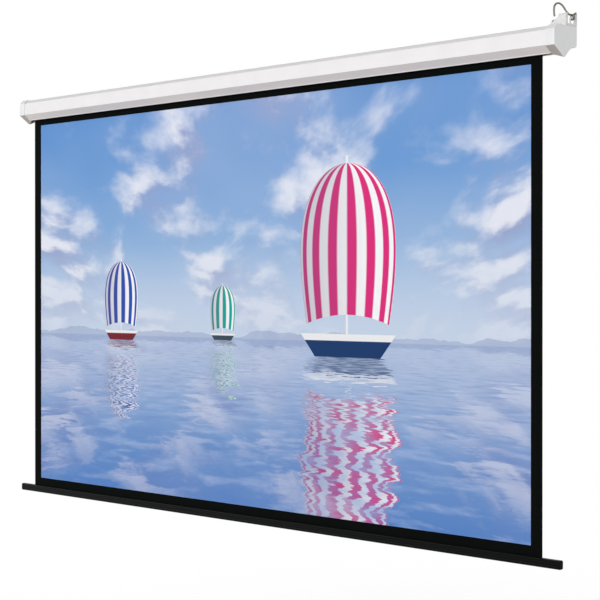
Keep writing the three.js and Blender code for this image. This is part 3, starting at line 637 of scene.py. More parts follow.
@dataclass(frozen=True)
class Yacht:
    """A yacht in the picture, with a striped spinnaker.

    Places are metres on the fabric. Shares are of the yacht's size, which is its height.
    """

    across: float
    waterline: float
    size: float
    stripe: str
    stripes: float
    hull: str
    sway: float = 0.25
    bob: float = 0.1
    sail_foot_share: float = 0.16
    sail_power: float = 2.6
    sail_half_shares: tuple[float, float] = (0.3, 0.16)
    thinnest: float = 0.001
    foot_arch_shares: tuple[float, float] = (0.22, -0.05)
    side_share: float = 0.999
    stripe_edge: Fade = Fade(-0.25, 0.25)
    sail_shadow: Fade = Fade(-1.0, 0.5, 0.45, 0.0)
    white_cloth: str = "#fdfcff"
    shaded_cloth: str = "#5b4f7c"
    deck_share: float = 0.12
    hull_half_shares: tuple[float, float] = (0.24, 0.9)
    mast_shares: tuple[float, float] = (1.04, 0.008)
    rail_share: float = 0.085
    rail: str = "#f2f2f4"
    breaking: Fade = Fade(0.36, 0.6, 0.85, 0.25)

    def sail(self, recipe: Recipe, side: Socket, height: Socket) -> tuple[Socket, Socket]:
        """Writes the spinnaker: fullest just below half its height, with a round head and an arched foot.

        Args:
            recipe: The node tree of the material.
            side: The share of the size to the right of the mast.
            height: The share of the size above the waterline.

        Returns:
            Where the sail is, and its colour.
        """
        add = recipe.add
        half_foot, widening = self.sail_half_shares
        foot_height, foot_arch = self.foot_arch_shares
        climb = add("MapRange", height, *Fade(self.sail_foot_share, 1.0))
        powered = add("Math", climb, self.sail_power, operation="POWER")
        fall = add("Math", 1.0, powered, operation="SUBTRACT")
        swelling = add("Math", climb, widening, half_foot, operation="MULTIPLY_ADD")
        half = add("Math", add("Math", fall, operation="SQRT"), swelling, operation="MULTIPLY")
        span = add("Math", side, add("Math", half, self.thinnest, operation="MAXIMUM"), operation="DIVIDE")
        inside = add("Math", add("Math", span, operation="ABSOLUTE"), 1.0, operation="LESS_THAN")
        below_head = add("Math", height, 1.0, operation="LESS_THAN")
        inside = add("Math", inside, below_head, operation="MULTIPLY")
        squared = add("Math", span, span, operation="MULTIPLY")
        arch = add("Math", squared, foot_arch, foot_height, operation="MULTIPLY_ADD")
        above = add("Math", height, arch, operation="GREATER_THAN")
        turn = add("Math", add("Math", span, self.side_share, operation="MULTIPLY"), operation="ARCSINE")
        beat = add("Math", add("Math", turn, self.stripes, operation="MULTIPLY"), operation="SINE")
        cloth = add("MixRGB", add("MapRange", beat, *self.stripe_edge), self.white_cloth, self.stripe)
        cloth = add("MixRGB", add("MapRange", span, *self.sail_shadow), cloth, self.shaded_cloth)
        return add("Math", inside, above, operation="MULTIPLY"), cloth

    def boards(self, recipe: Recipe, side: Socket, height: Socket) -> tuple[Socket, Socket]:
        """Writes the hull, wider at its pale rail than at the waterline, and the mast above it.

        Args:
            recipe: The node tree of the material.
            side: The share of the size to the right of the mast.
            height: The share of the size above the waterline.

        Returns:
            Where the hull and the mast are, and their colour.
        """
        add = recipe.add
        half_keel, flaring = self.hull_half_shares
        mast_top, mast_half = self.mast_shares
        aside = add("Math", side, operation="ABSOLUTE")
        low = add("Math", height, self.deck_share, operation="LESS_THAN")
        flare = add("Math", height, flaring, half_keel, operation="MULTIPLY_ADD")
        hull = add("Math", low, add("Math", aside, flare, operation="LESS_THAN"), operation="MULTIPLY")
        tall = add("Math", height, mast_top, operation="LESS_THAN")
        mast = add("Math", tall, add("Math", aside, mast_half, operation="LESS_THAN"), operation="MULTIPLY")
        railing = add("Math", height, self.rail_share, operation="GREATER_THAN")
        colour = add("MixRGB", railing, self.hull, self.rail)
        return add("Math", hull, mast, operation="MAXIMUM"), colour

    def paint(self, recipe: Recipe, place: tuple[Socket, Socket, Socket], behind: Socket) -> Socket:
        """Writes the yacht and its reflection over what is behind it.

        Args:
            recipe: The node tree of the material.
            place: Metres across, metres up, and the swell from 0 to 1.
            behind: The colour so far.

        Returns:
            The colour with the yacht.
        """
        add = recipe.add
        across, up, swell = place
        rise = add("Math", up, self.waterline, operation="SUBTRACT")
        sunk = add("Math", rise, 0.0, operation="LESS_THAN")
        wave = add("Math", swell, NOISE_MIDDLE, operation="SUBTRACT")
        wave = add("Math", wave, sunk, operation="MULTIPLY")
        height = add("Math", rise, operation="ABSOLUTE")
        height = add("Math", wave, self.bob, height, operation="MULTIPLY_ADD")
        height = add("Math", height, self.size, operation="DIVIDE")
        side = add("Math", wave, self.sway, across, operation="MULTIPLY_ADD")
        side = add("Math", side, self.across, operation="SUBTRACT")
        side = add("Math", side, self.size, operation="DIVIDE")

        # The reflection is broken up by the swell and takes on the water's blue
        clear = add("MixRGB", sunk, "#ffffff", add("MapRange", swell, *self.breaking))
        for where, colour in (self.boards(recipe, side, height), self.sail(recipe, side, height)):
            behind = add("MixRGB", add("Math", where, clear, operation="MULTIPLY"), behind, colour)
        return behind


@dataclass(frozen=True)
class PrintedVinyl(WovenVinyl):
    """The picture on the matt front: a wide sky with clouds over calm water, and three yachts."""

    # Waves are about 300 by 65 mm at the picture's foot, and 80 by 5 mm close below the horizon
    name: str = "printed_vinyl"
    relief: float = 0.04 * MM
    horizon: float = -800 * MM
    wave_edge: float = 50 * MM
    wave_counts: Triple = (18.0, 46.0, 1.0)
    swell: Grain = Grain(2.0, 5.0, 0.6)
    mirror_reach: tuple[float, float] = (0.7, 0.02)
    mirror_sway: float = 0.3
    hills: Grain = Grain(4.0, 5.0)
    hill_heights: Fade = Fade(0.35, 0.75, 4 * MM, 36 * MM)
    hill_share: float = 0.42
    hill_colour: str = "#8a9bc4"
    depth: Fade = Fade(0.0, 500 * MM, 0.2, 0.54)
    depth_colour: str = "#3f6fbe"
    crests: Fade = Fade(0.5, 0.72, 0.0, 0.55)
    crest_colour: str = "#c3d0ec"
    troughs: Fade = Fade(0.3, 0.5, 0.4, 0.0)
    trough_colour: str = "#5580c8"
    sky: Sky = Sky()
    yachts: tuple[Yacht, ...] = (
        Yacht(430 * MM, -845 * MM, 560 * MM, "#e2357f", 15.0, "#24406f"),
        Yacht(-640 * MM, -815 * MM, 260 * MM, "#2f55b4", 13.0, "#7a2f3a"),
        Yacht(-120 * MM, -806 * MM, 170 * MM, "#1fa79a", 11.0, "#43505c"),
    )

    def scenery(self, recipe: Recipe, place: tuple[Socket, Socket, Socket], water: Socket) -> Socket:
        """Writes the sky with a far shore in the haze, and below the horizon what the water mirrors.

        Args:
            recipe: The node tree of the material.
            place: Metres across, metres from the horizon, and the swell from 0 to 1.
            water: 1 on the water and 0 above it.

        Returns:
            The colour.
        """
        add = recipe.add
        across, height, swell = place
        wave = add("Math", swell, NOISE_MIDDLE, operation="SUBTRACT")
        push = add("Math", wave, water, operation="MULTIPLY")
        reach = add("Math", height, *self.mirror_reach, operation="MULTIPLY_ADD")
        mirrored = add("Math", push, reach, height, operation="MULTIPLY_ADD")
        mirrored = add("Math", mirrored, 0.0, operation="MAXIMUM")
        slid = add("Math", push, self.mirror_sway, across, operation="MULTIPLY_ADD")
        sky = self.sky.paint(recipe, slid, mirrored)
        hills = add("TexNoise", into=self.hills.inputs() | {"W": slid}, noise_dimensions="1D")
        shore = add("Math", mirrored, add("MapRange", hills, *self.hill_heights), operation="LESS_THAN")
        share = add("Math", shore, self.hill_share, operation="MULTIPLY")
        return add("MixRGB", share, sky, self.hill_colour)

    def surface(self, recipe: Recipe) -> dict[str, object]:
        """Writes the picture over the weave.

        Args:
            recipe: The node tree of the material.

        Returns:
            Sockets by the name of the shader's input that they feed.
        """
        add = recipe.add
        place = add("TexCoord", output="Object")
        threads = self.threads(recipe, place)
        across = add("SeparateXYZ", place, output="X")
        up = add("SeparateXYZ", place, output="Z")
        rise = add("Math", up, self.horizon, operation="SUBTRACT")
        water = add("Math", rise, 0.0, operation="LESS_THAN")
        height = add("Math", rise, operation="ABSOLUTE")
        shifted = add("Math", height, self.wave_edge, operation="ADD")
        nearness = add("Math", self.wave_edge, shifted, operation="DIVIDE")
        sideways = add("Math", across, nearness, operation="MULTIPLY")
        wave_place = add("CombineXYZ", sideways, nearness, 0.0)
        wave_place = add("VectorMath", wave_place, self.wave_counts, operation="MULTIPLY")
        swell = add("TexNoise", wave_place, into=self.swell.inputs())
        picture = self.scenery(recipe, (across, height, swell), water)

        # The water is deeper and bluer close by, pale on the crests and blue in the troughs
        layers = (
            (height, self.depth, self.depth_colour),
            (swell, self.crests, self.crest_colour),
            (swell, self.troughs, self.trough_colour),
        )
        for follows, fade, colour in layers:
            share = add("Math", add("MapRange", follows, *fade), water, operation="MULTIPLY")
            picture = add("MixRGB", share, picture, colour)
        for yacht in self.yachts:
            picture = yacht.paint(recipe, (across, up, swell), picture)
        return self.dressed(recipe, picture, threads, threads)


FINISHES = {
    Slot.CASE_PAINT: PowderCoatedSteel(),
    Slot.CAP_PLASTIC: MouldedAbs(),
    Slot.BRACKET_PAINT: EnamelledSteel(),
    Slot.ZINC_STEEL: ZincPlatedSteel(),
    Slot.BLACK_STEEL: BlackOxideSteel(),
    Slot.HOOK_WIRE: DrawnSteelWire(),
    Slot.TUBE_ALUMINIUM: ExtrudedAluminium(),
    Slot.MOTOR_STEEL: DrawnSteelTube(),
    Slot.BLACK_PLASTIC: MouldedPolyamide(),
    Slot.NYLON: NaturalNylon(),
    Slot.RED_PLASTIC: RedAcetal(),
    Slot.PICTURE_FABRIC: PrintedVinyl(),
    Slot.BORDER_BLACK: WovenVinyl(),
    Slot.BAR_BLACK: BlackAnodisedAluminium(),
}


class Paints:
    """The materials, each built once."""

    def __init__(self) -> None:
        """Builds a material for each slot, and one for the rear of the fabric."""
        self.by_slot = {slot: finish.material() for slot, finish in FINISHES.items()}
        self.rear = BlackoutVinyl().material()


class ScrewSize(NamedTuple):
    """The radius and height of a screw's head, and the radius and length of its shank."""

    head: float
    height: float
    shank: float
    length: float


@dataclass(frozen=True)
class PanHeadScrew:
    """A pan-head screw with a cross recess. Its seat is the middle of the underside of its head."""

    seat: Vector
    direction: Vector
    size: ScrewSize
    sides: int = 32
    crown_steps: int = 4
    flat_share: float = 0.66
    arm_share: float = 0.5
    arm_width_share: float = 0.13
    recess_share: float = 0.5
    recess_taper_share: float = 0.6
    tip_share: float = 0.35
    point_share: float = 0.8
    pitch_share: float = 0.5
    root_share: float = 0.84
    flank_share: float = 0.95
    seat_share: float = 0.94
    rim_shares: tuple[float, float] = (0.14, 0.4)

    def ring(self, shape: bmesh.types.BMesh, radius: float, height: float) -> list[bmesh.types.BMVert]:
        """Adds a ring of vertices round the screw's axis.

        Args:
            shape: The mesh.
            radius: The ring's radius.
            height: Its height above the seat.

        Returns:
            The vertices in order.
        """
        steps = (2 * math.pi * number / self.sides for number in range(self.sides))
        return [shape.verts.new((radius * math.cos(a), radius * math.sin(a), height)) for a in steps]

    def cross(self, shape: bmesh.types.BMesh, share: float, height: float) -> list[bmesh.types.BMVert]:
        """Adds the twelve corners of the recess.

        Args:
            shape: The mesh.
            share: Its size as a share of the recess at the top.
            height: Its height above the seat.

        Returns:
            The vertices in order.
        """
        arm = self.size.head * self.arm_share * share
        half = self.size.head * self.arm_width_share * share
        corners = []
        for quarter in range(4):
            turn = quarter * math.pi / 2
            for along, side in ((arm, -half), (arm, half), (half, half)):
                x = along * math.cos(turn) - side * math.sin(turn)
                y = along * math.sin(turn) + side * math.cos(turn)
                corners.append(shape.verts.new((x, y, height)))
        return corners

    def profile(self) -> list[tuple[float, float]]:
        """Draws the screw's outline from the tip over the thread to the top of the head.

        Returns:
            Radii, and heights above the seat.
        """
        head, height, shank, length = self.size
        pitch = shank * self.pitch_share
        points = [(shank * self.tip_share, -length), (shank * self.point_share, shank - length)]
        for number in range(int((length - shank) / pitch)):
            low = shank - length + number * pitch
            points.append((shank, low + pitch / 2))
            points.append((shank * self.root_share, low + pitch * self.flank_share))
        points.append((shank, 0.0))
        points.append((head * self.seat_share, 0.0))
        points.extend((head, height * share) for share in self.rim_shares)
        rim = self.rim_shares[-1]
        for step in range(1, self.crown_steps + 1):
            turn = step / self.crown_steps * math.pi / 2
            share = self.flat_share + (1 - self.flat_share) * math.cos(turn)
            points.append((head * share, height * (rim + (1 - rim) * math.sin(turn))))
        return points

    def build(self) -> bmesh.types.BMesh:
        """Builds the screw as one closed mesh.

        Returns:
            The mesh, in place.
        """
        shape = bmesh.new()
        rings = [self.ring(shape, radius, height) for radius, height in self.profile()]
        for lower, upper in zip(rings, rings[1:]):
            for number in range(self.sides):
                after = (number + 1) % self.sides
                shape.faces.new((lower[number], lower[after], upper[after], upper[number]))
        shape.faces.new(list(reversed(rings[0])))
        rim = self.cross(shape, 1.0, self.size.height)
        floor = self.cross(shape, self.recess_taper_share, self.size.height * (1 - self.recess_share))
        for number in range(len(rim)):
            after = (number + 1) % len(rim)
            shape.faces.new((rim[number], rim[after], floor[after], floor[number]))
        shape.faces.new(floor)
        edges = []
        for loop in (rings[-1], rim):
            for first, second in zip(loop, loop[1:] + loop[:1]):
                edges.append(shape.edges.get((first, second)))
        bmesh.ops.triangle_fill(shape, edges=edges, use_beauty=True)
        turn = Vector((0, 0, 1)).rotation_difference(self.direction).to_matrix().to_4x4()
        bmesh.ops.transform(shape, matrix=turn, verts=shape.verts)
        bmesh.ops.translate(shape, vec=self.seat + self.direction * FIT_GAP, verts=shape.verts)
        return shape


def shade_by_angle(made: bpy.types.Object) -> None:
    """Shades a built piece smooth and keeps its hard edges sharp.

    Args:
        made: The piece.
    """
    made.data.shade_smooth()
    made.data.set_sharp_from_angle(angle=SMOOTH_ANGLE)


@dataclass(frozen=True)
class Workshop:
    """What all sub-assemblies share: dressing CAD nodes and adding new pieces."""

    paints: Paints

    def dress(self, names: Iterable[str], edge: float) -> None:
        """Gives CAD nodes their materials and rounds their hard edges.

        Args:
            names: The nodes.
            edge: The radius of the rounded edges in metres.
        """
        for name in names:
            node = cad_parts[name]
            for holder in node.material_slots:
                holder.material = self.paints.by_slot[Slot(holder.name)]
            self.soften(node, edge)
            log.info("dressed %s", name)

    def soften(self, node: bpy.types.Object, edge: float) -> None:
        """Rounds the hard edges of a piece a little and shades its curved faces smooth.

        Args:
            node: The piece.
            edge: The radius of the rounded edges in metres.
        """
        node.data.shade_smooth()
        weld = node.modifiers.new("weld", "WELD")
        weld.merge_threshold = WELD_REACH
        bevel = node.modifiers.new("rounded_edges", "BEVEL")
        bevel.width = edge
        bevel.segments = BEVEL_SEGMENTS
        bevel.limit_method = "ANGLE"
        bevel.angle_limit = SMOOTH_ANGLE
        bevel.use_clamp_overlap = False
        normals = node.modifiers.new("even_shading", "WEIGHTED_NORMAL")
        normals.keep_sharp = True

    def piece(
        self, name: str, shape: bmesh.types.BMesh, body: Body, slot: Slot, replaces: Iterable[str] = ()
    ) -> bpy.types.Object:
        """Turns a bmesh to a piece that rides on a body.

        Args:
            name: The piece's name.
            shape: Its mesh, which is freed.
            body: The body that it rides on.
            slot: The slot that its finish comes from.
            replaces: The CAD nodes that it stands for.

        Returns:
            The new object.
        """
        mesh = bpy.data.meshes.new(name)
        bmesh.ops.recalc_face_normals(shape, faces=shape.faces)
        shape.to_mesh(mesh)
        shape.free()
        mesh.materials.append(self.paints.by_slot[slot])
        made = bpy.data.objects.new(name, mesh)
        bpy.context.scene.collection.objects.link(made)
        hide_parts(*replaces)
        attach(made, body.value)
        log.info("built %s, %d faces", name, len(mesh.polygons))
        return made

    def screw(self, name: str, seat: Triple, lean: Triple, size: ScrewSize, slot: Slot) -> None:
        """Puts a screw with a thread and a cross recess in the place of a plain one.

        Args:
            name: The CAD node of the plain screw.
            seat: The middle of the underside of its head.
            lean: The direction from the seat out through the head.
            size: Its sizes.
            slot: The slot that its finish comes from.
        """
        shape = PanHeadScrew(Vector(seat), Vector(lean).normalized(), size).build()
        shade_by_angle(self.piece(name + "_recessed", shape, Body.CASE, slot, [name]))


@dataclass(frozen=True)
class Case:
    """The white case with its end caps, end plates, keyhole plates, cap screws and cable gland."""

    workshop: Workshop
    cap_screw_across: tuple[float, float] = (-1167.95 * MM, 1198.75 * MM)
    cap_screw_depth: float = -14.85 * MM
    cap_screw_height: float = -32.5 * MM
    cap_screw_lean: Triple = (0.0, 0.246, -0.9693)
    cap_screw_size: ScrewSize = ScrewSize(3.2 * MM, 1.8 * MM, 1.5 * MM, 7 * MM)
    case_edge: float = 0.35 * MM
    cap_edge: float = 0.5 * MM
    plate_edge: float = 0.25 * MM

    def build(self) -> None:
        """Dresses the nodes and builds the two screws under the caps."""
        self.workshop.dress(["case_shell"], self.case_edge)
        self.workshop.dress(["end_cap_left", "end_cap_right"], self.cap_edge)
        plates = ["motor_plate", "idler_plate", "keyhole_plate_left", "keyhole_plate_right"]
        small = [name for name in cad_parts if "_plate_screw_" in name or "keyhole_rivet" in name]
        self.workshop.dress([*plates, *small, "cable_gland"], self.plate_edge)
        for name, across in zip(("cap_screw_left", "cap_screw_right"), self.cap_screw_across):
            seat = (across, self.cap_screw_depth, self.cap_screw_height)
            self.workshop.screw(name, seat, self.cap_screw_lean, self.cap_screw_size, Slot.ZINC_STEEL)


@dataclass(frozen=True)
class WireHook:
    """The wire hook: a bow that opens downwards, a ring round the ear's rim and a short tail."""

    eye: Vector = Vector((1213 * MM, -19 * MM, 37 * MM))
    radius: float = 2.6 * MM
    bow: tuple[float, float] = (59.5 * MM, 50.6 * MM)
    ring_reach: float = 7.2 * MM
    ring_height: float = 15 * MM
    cross: float = 3.12 * MM
    tail: tuple[float, float] = (7.5 * MM, 18.4 * MM)
    bow_plane_share: float = -0.3
    sides: int = 16
    steps: int = 12
    tip_shares: tuple[float, ...] = (0.1, 0.4, 0.7)
    bow_shares: tuple[tuple[float, float], ...] = (
        (-0.978, 0.395),
        (-0.997, 0.545),
        (-1.0, 0.725),
        (-0.978, 0.874),
        (-0.901, 0.98),
        (-0.76, 1.0),
        (-0.597, 0.901),
        (-0.489, 0.773),
        (-0.397, 0.619),
        (-0.244, 0.447),
    )
    ring_shares: tuple[Triple, ...] = (
        (-1.25, -1.0, 1.127),
        (-0.15, -1.0, 1.0),
        (0.76, -1.0, 0.83),
        (1.0, -0.7, 0.5),
        (0.55, 0.0, 0.25),
        (-0.15, 0.1, 0.19),
        (-0.8, 0.5, 0.3),
        (-1.12, 1.0, 0.62),
        (-0.7, 1.0, 0.935),
        (0.1, 1.0, 1.03),
    )

    def corners(self) -> list[Vector]:
        """Gives the points that the wire runs through.

        Returns:
            The points from the bow's tip to the tail's tip.
        """
        spread, reach = self.bow
        points = []
        for across, up in self.bow_shares:
            depth = -self.cross if across > self.bow_plane_share else 0.0
            points.append(Vector((across * spread, depth, up * reach)))
        for across, depth, up in self.ring_shares:
            points.append(Vector((across * self.ring_reach, depth * self.cross, up * self.ring_height)))
        points.append(Vector((self.tail[0], self.cross, self.tail[1])))
        return [self.eye + point for point in points]

    def route(self) -> list[Vector]:
        """Draws a smooth line through the points, whose bends spread by the root of each step.

        Returns:
            Points along the wire's middle line.
        """
        corners = self.corners()
        first = 2 * corners[0] - corners[1]
        last = 2 * corners[-1] - corners[-2]
        points = [first, *corners, last]
        line = []
        for before, start, end, after in zip(points, points[1:], points[2:], points[3:]):
            pairs = ((before, start), (start, end), (end, after))
            gaps = [math.sqrt((second - one).length) for one, second in pairs]
            leave = self.slope(before, start, end, gaps[0], gaps[1]) * gaps[1]
            arrive = self.slope(start, end, after, gaps[1], gaps[2]) * gaps[1]

            # A cubic that leaves and arrives in the directions of the slopes
            for step in range(self.steps):
                share = step / self.steps
                cubed = share * share * share
                squared = share * share
                line.append(
                    start * (2 * cubed - 3 * squared + 1)
                    + leave * (cubed - 2 * squared + share)
                    + end * (3 * squared - 2 * cubed)
                    + arrive * (cubed - squared)
                )
        return [*line, corners[-1]]

    @staticmethod
    def slope(before: Vector, point: Vector, after: Vector, gap: float, next_gap: float) -> Vector:
        """Gives the wire's direction at a point from its two neighbours.

        Args:
            before: The neighbour before it.
            point: The point.
            after: The neighbour after it.
            gap: The root of the distance before it.
            next_gap: The root of the distance after it.

        Returns:
            The direction, as long as the line is fast.
        """
        return (point - before) / gap - (after - before) / (gap + next_gap) + (after - point) / next_gap

    def stations(self) -> list[tuple[Vector, float]]:
        """Places the wire's rings, which get smaller at its rounded ends.

        Returns:
            The middle of each ring, and its share of the wire's radius.
        """
        line = self.route()
        angles = [math.pi / 2 * share for share in self.tip_shares]
        start_way = (line[0] - line[1]).normalized()
        end_way = (line[-1] - line[-2]).normalized()
        start = [(line[0] + start_way * self.radius * math.cos(a), math.sin(a)) for a in angles]
        end = [(line[-1] + end_way * self.radius * math.cos(a), math.sin(a)) for a in reversed(angles)]
        return [*start, *((point, 1.0) for point in line), *end]

    def build(self) -> bmesh.types.BMesh:
        """Builds the wire with rounded ends and UVs along and round it.

        Returns:
            The mesh.
        """
        shape = bmesh.new()
        layer = shape.loops.layers.uv.new("lengthwise")
        stations = self.stations()
        middles = [point for point, share in stations]
        normal = Vector((0, 1, 0))
        rings = []
        travelled = [0.0]
        for number, (middle, share) in enumerate(stations):
            after = middles[min(number + 1, len(middles) - 1)]
            before = middles[max(number - 1, 0)]
            along = (after - before).normalized()
            normal = (normal - along * normal.dot(along)).normalized()
            across = along.cross(normal)
            ring = []
            for side in range(self.sides):
                turn = 2 * math.pi * side / self.sides
                out = (normal * math.cos(turn) + across * math.sin(turn)) * self.radius * share
                ring.append(shape.verts.new(middle + out))
            rings.append(ring)
            travelled.append(travelled[-1] + (after - middle).length)
        girth = 2 * math.pi * self.radius
        for number, (lower, upper) in enumerate(zip(rings, rings[1:])):
            for side in range(self.sides):
                after = (side + 1) % self.sides
                face = shape.faces.new((lower[side], lower[after], upper[after], upper[side]))
                face.smooth = True
                lengths = (number, number, number + 1, number + 1)
                turns = (side, side + 1, side + 1, side)
                for loop, length, turn in zip(face.loops, lengths, turns):
                    loop[layer].uv = (travelled[length], girth * turn / self.sides)
        for ring in (rings[0], rings[-1]):
            shape.faces.new(ring)
        return shape


@dataclass(frozen=True)
class HangerBracket:
    """The folded bracket on the right end cap, its three screws and the wire hook."""

    workshop: Workshop
    front_screw_seat: Triple = (1169.97 * MM, -40.5 * MM, 37 * MM)
    front_screw_lean: Triple = (-0.4997, 0.0, 0.8662)
    front_screw_size: ScrewSize = ScrewSize(5.2 * MM, 3.2 * MM, 2.4 * MM, 7 * MM)
    flange_screw_seats: tuple[Triple, ...] = (
        (1193 * MM, -31.5 * MM, 26 * MM),
        (1193 * MM, -10 * MM, 26 * MM),
    )
    flange_screw_size: ScrewSize = ScrewSize(4 * MM, 2.6 * MM, 2 * MM, 6 * MM)
    fold_edge: float = 0.2 * MM
    hook: WireHook = WireHook()

    def build(self) -> None:
        """Dresses the bracket and builds the screws and the hook."""
        self.workshop.dress(["hanger_bracket"], self.fold_edge)
        self.workshop.screw(
            "hanger_screw_front",
            self.front_screw_seat,
            self.front_screw_lean,
            self.front_screw_size,
            Slot.BLACK_STEEL,
        )
        up = (0.0, 0.0, 1.0)
        for number, seat in enumerate(self.flange_screw_seats, start=1):
            name = f"hanger_screw_{number}"
            self.workshop.screw(name, seat, up, self.flange_screw_size, Slot.ZINC_STEEL)
        self.workshop.piece("hook_wire", self.hook.build(), Body.HOOK, Slot.HOOK_WIRE, ["wire_hook"])


@dataclass(frozen=True)
class Roller:
    """The roller with its motor and idler, and the turns of fabric that stay on it."""

    workshop: Workshop
    axis_depth: float = -32.75 * MM
    axis_height: float = -6 * MM
    half_width: float = 1145 * MM
    inner_radius: float = 20.3 * MM
    thickness: float = 0.38 * MM
    pitch: float = 0.42 * MM
    turns: float = 1.95
    steps: int = 150
    edge: float = 0.2 * MM

    def spiral(self) -> bmesh.types.BMesh:
        """Builds the turns of fabric as one closed sheet.

        Returns:
            The mesh.
        """
        shape = bmesh.new()
        rows = []
        for step in range(self.steps + 1):
            share = step / self.steps
            turn = math.pi + 2 * math.pi * self.turns * (share - 1)
            inner = self.inner_radius + self.pitch * self.turns * share
            row = []
            for radius in (inner, inner + self.thickness):
                y = self.axis_depth + radius * math.cos(turn)
                z = self.axis_height + radius * math.sin(turn)
                row.append([shape.verts.new((x, y, z)) for x in (-self.half_width, self.half_width)])
            rows.append(row)
        for (inner, outer), (next_inner, next_outer) in zip(rows, rows[1:]):
            shape.faces.new((inner[0], inner[1], next_inner[1], next_inner[0]))
            shape.faces.new((outer[0], next_outer[0], next_outer[1], outer[1]))
            for side in (0, 1):
                shape.faces.new((inner[side], next_inner[side], next_outer[side], outer[side]))
        for inner, outer in (rows[0], rows[-1]):
            shape.faces.new((inner[0], inner[1], outer[1], outer[0]))
        return shape

    def build(self) -> None:
        """Dresses the roller's nodes and builds the turns of fabric."""
        rigid = ["motor_head", "motor_tube", "motor_shaft", "drive_crown", "limit_crown", "roller_tube"]
        idler = ["idler_plug", "idler_axle", "idler_bush", "limit_screw_1", "limit_screw_2"]
        self.workshop.dress([*rigid, *idler], self.edge)
        turns = self.workshop.piece(
            "wound_turns", self.spiral(), Body.ROLLER, Slot.BORDER_BLACK, ["wound_fabric"]
        )
        shade_by_angle(turns)


@dataclass(frozen=True)
class ScreenFabric:
    """The hanging fabric and its printed black border.

    The upper part flattens towards the roller as the bar rises, in place of winding up on it. The foot
    below the picture rides on the bar, and is black because the border is printed over it.
    """

    workshop: Workshop
    half_width: float = 1145 * MM
    top: float = -6 * MM
    split: float = -1312.5 * MM
    foot: float = -1344.4 * MM
    border_foot: float = -1340.4 * MM
    rear: float = -54.19 * MM
    front: float = -54.61 * MM
    border_front: float = -54.81 * MM
    picture_half_width: float = 1107 * MM
    picture_top: float = -67.5 * MM
    lift: float = 1278 * MM

    def slab(self, outline: Sequence[tuple[float, float]], front: float, rear: float) -> bmesh.types.BMesh:
        """Builds a flat closed sheet from an outline in X and Z.

        Args:
            outline: The corners in order.
            front: The depth of its front.
            rear: The depth of its rear.

        Returns:
            The mesh. Its rear and its edges have the material index 1.
        """
        shape = bmesh.new()
        near = [shape.verts.new((x, front, z)) for x, z in outline]
        far = [shape.verts.new((x, rear, z)) for x, z in outline]
        shape.faces.new(near)
        shape.faces.new(list(reversed(far))).material_index = 1
        for number in range(len(outline)):
            after = (number + 1) % len(outline)
            shape.faces.new((near[number], far[number], far[after], near[after])).material_index = 1
        return shape

    def rectangle(self, low: float, high: float) -> list[tuple[float, float]]:
        """Gives the corners of a strip as wide as the fabric."""
        wide = self.half_width
        return [(-wide, low), (wide, low), (wide, high), (-wide, high)]

    def border_outline(self) -> list[tuple[float, float]]:
        """Draws the border above and beside the picture.

        Returns:
            Its corners in X and Z.
        """
        wide = self.half_width
        inner = self.picture_half_width
        return [
            (-wide, self.split),
            (-inner, self.split),
            (-inner, self.picture_top),
            (inner, self.picture_top),
            (inner, self.split),
            (wide, self.split),
            (wide, self.top),
            (-wide, self.top),
        ]

    def fabric(self, name: str, low: float, high: float, body: Body, slot: Slot) -> bpy.types.Object:
        """Builds a part of the fabric with its dark rear.

        Args:
            name: The piece's name.
            low: The height of its lower edge.
            high: The height of its upper edge.
            body: The body that it rides on.
            slot: The slot that the finish of its front comes from.

        Returns:
            The new object.
        """
        shape = self.slab(self.rectangle(low, high), self.front, self.rear)
        made = self.workshop.piece(name, shape, body, slot, ["projection_fabric"])
        made.data.materials.append(self.workshop.paints.rear)
        return made

    def border(self, name: str, outline: list[tuple[float, float]], body: Body) -> bpy.types.Object:
        """Builds a part of the border, as a thin layer on the fabric.

        Args:
            name: The piece's name.
            outline: Its corners in X and Z.
            body: The body that it rides on.

        Returns:
            The new object.
        """
        shape = self.slab(outline, self.border_front, self.front)
        made = self.workshop.piece(name, shape, body, Slot.BORDER_BLACK, ["black_masking"])
        made.data.materials.append(self.workshop.paints.by_slot[Slot.BORDER_BLACK])
        return made

    def build(self) -> None:
        """Builds the two sheets and the two parts of the border."""
        sheet = self.fabric("fabric_sheet", self.split, self.top, Body.CASE, Slot.PICTURE_FABRIC)
        foot = self.fabric("fabric_foot", self.foot, self.split, Body.BOTTOM_BAR, Slot.BORDER_BLACK)
        border = self.border("border_sheet", self.border_outline(), Body.CASE)
        foot_outline = self.rectangle(self.border_foot, self.split)
        border_foot = self.border("border_foot", foot_outline, Body.BOTTOM_BAR)
        for made in (sheet, border):
            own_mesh(made)


@dataclass(frozen=True)
class BottomBar:
    """The black bar that weighs the fabric down, its two plugs and the fabric's rod."""

    workshop: Workshop
    bar_edge: float = 0.4 * MM
    plug_edge: float = 0.5 * MM

    def build(self) -> None:
        """Dresses the bar's nodes."""
        self.workshop.dress(["bottom_bar"], self.bar_edge)
        self.workshop.dress(["bar_plug_left", "bar_plug_right", "fabric_rod"], self.plug_edge)


@dataclass(frozen=True)
class Lamp:
    """A distant soft light: where it shines from, how strong it is and how wide it looks."""

    name: str
    origin: Triple
    strength: float
    width: float


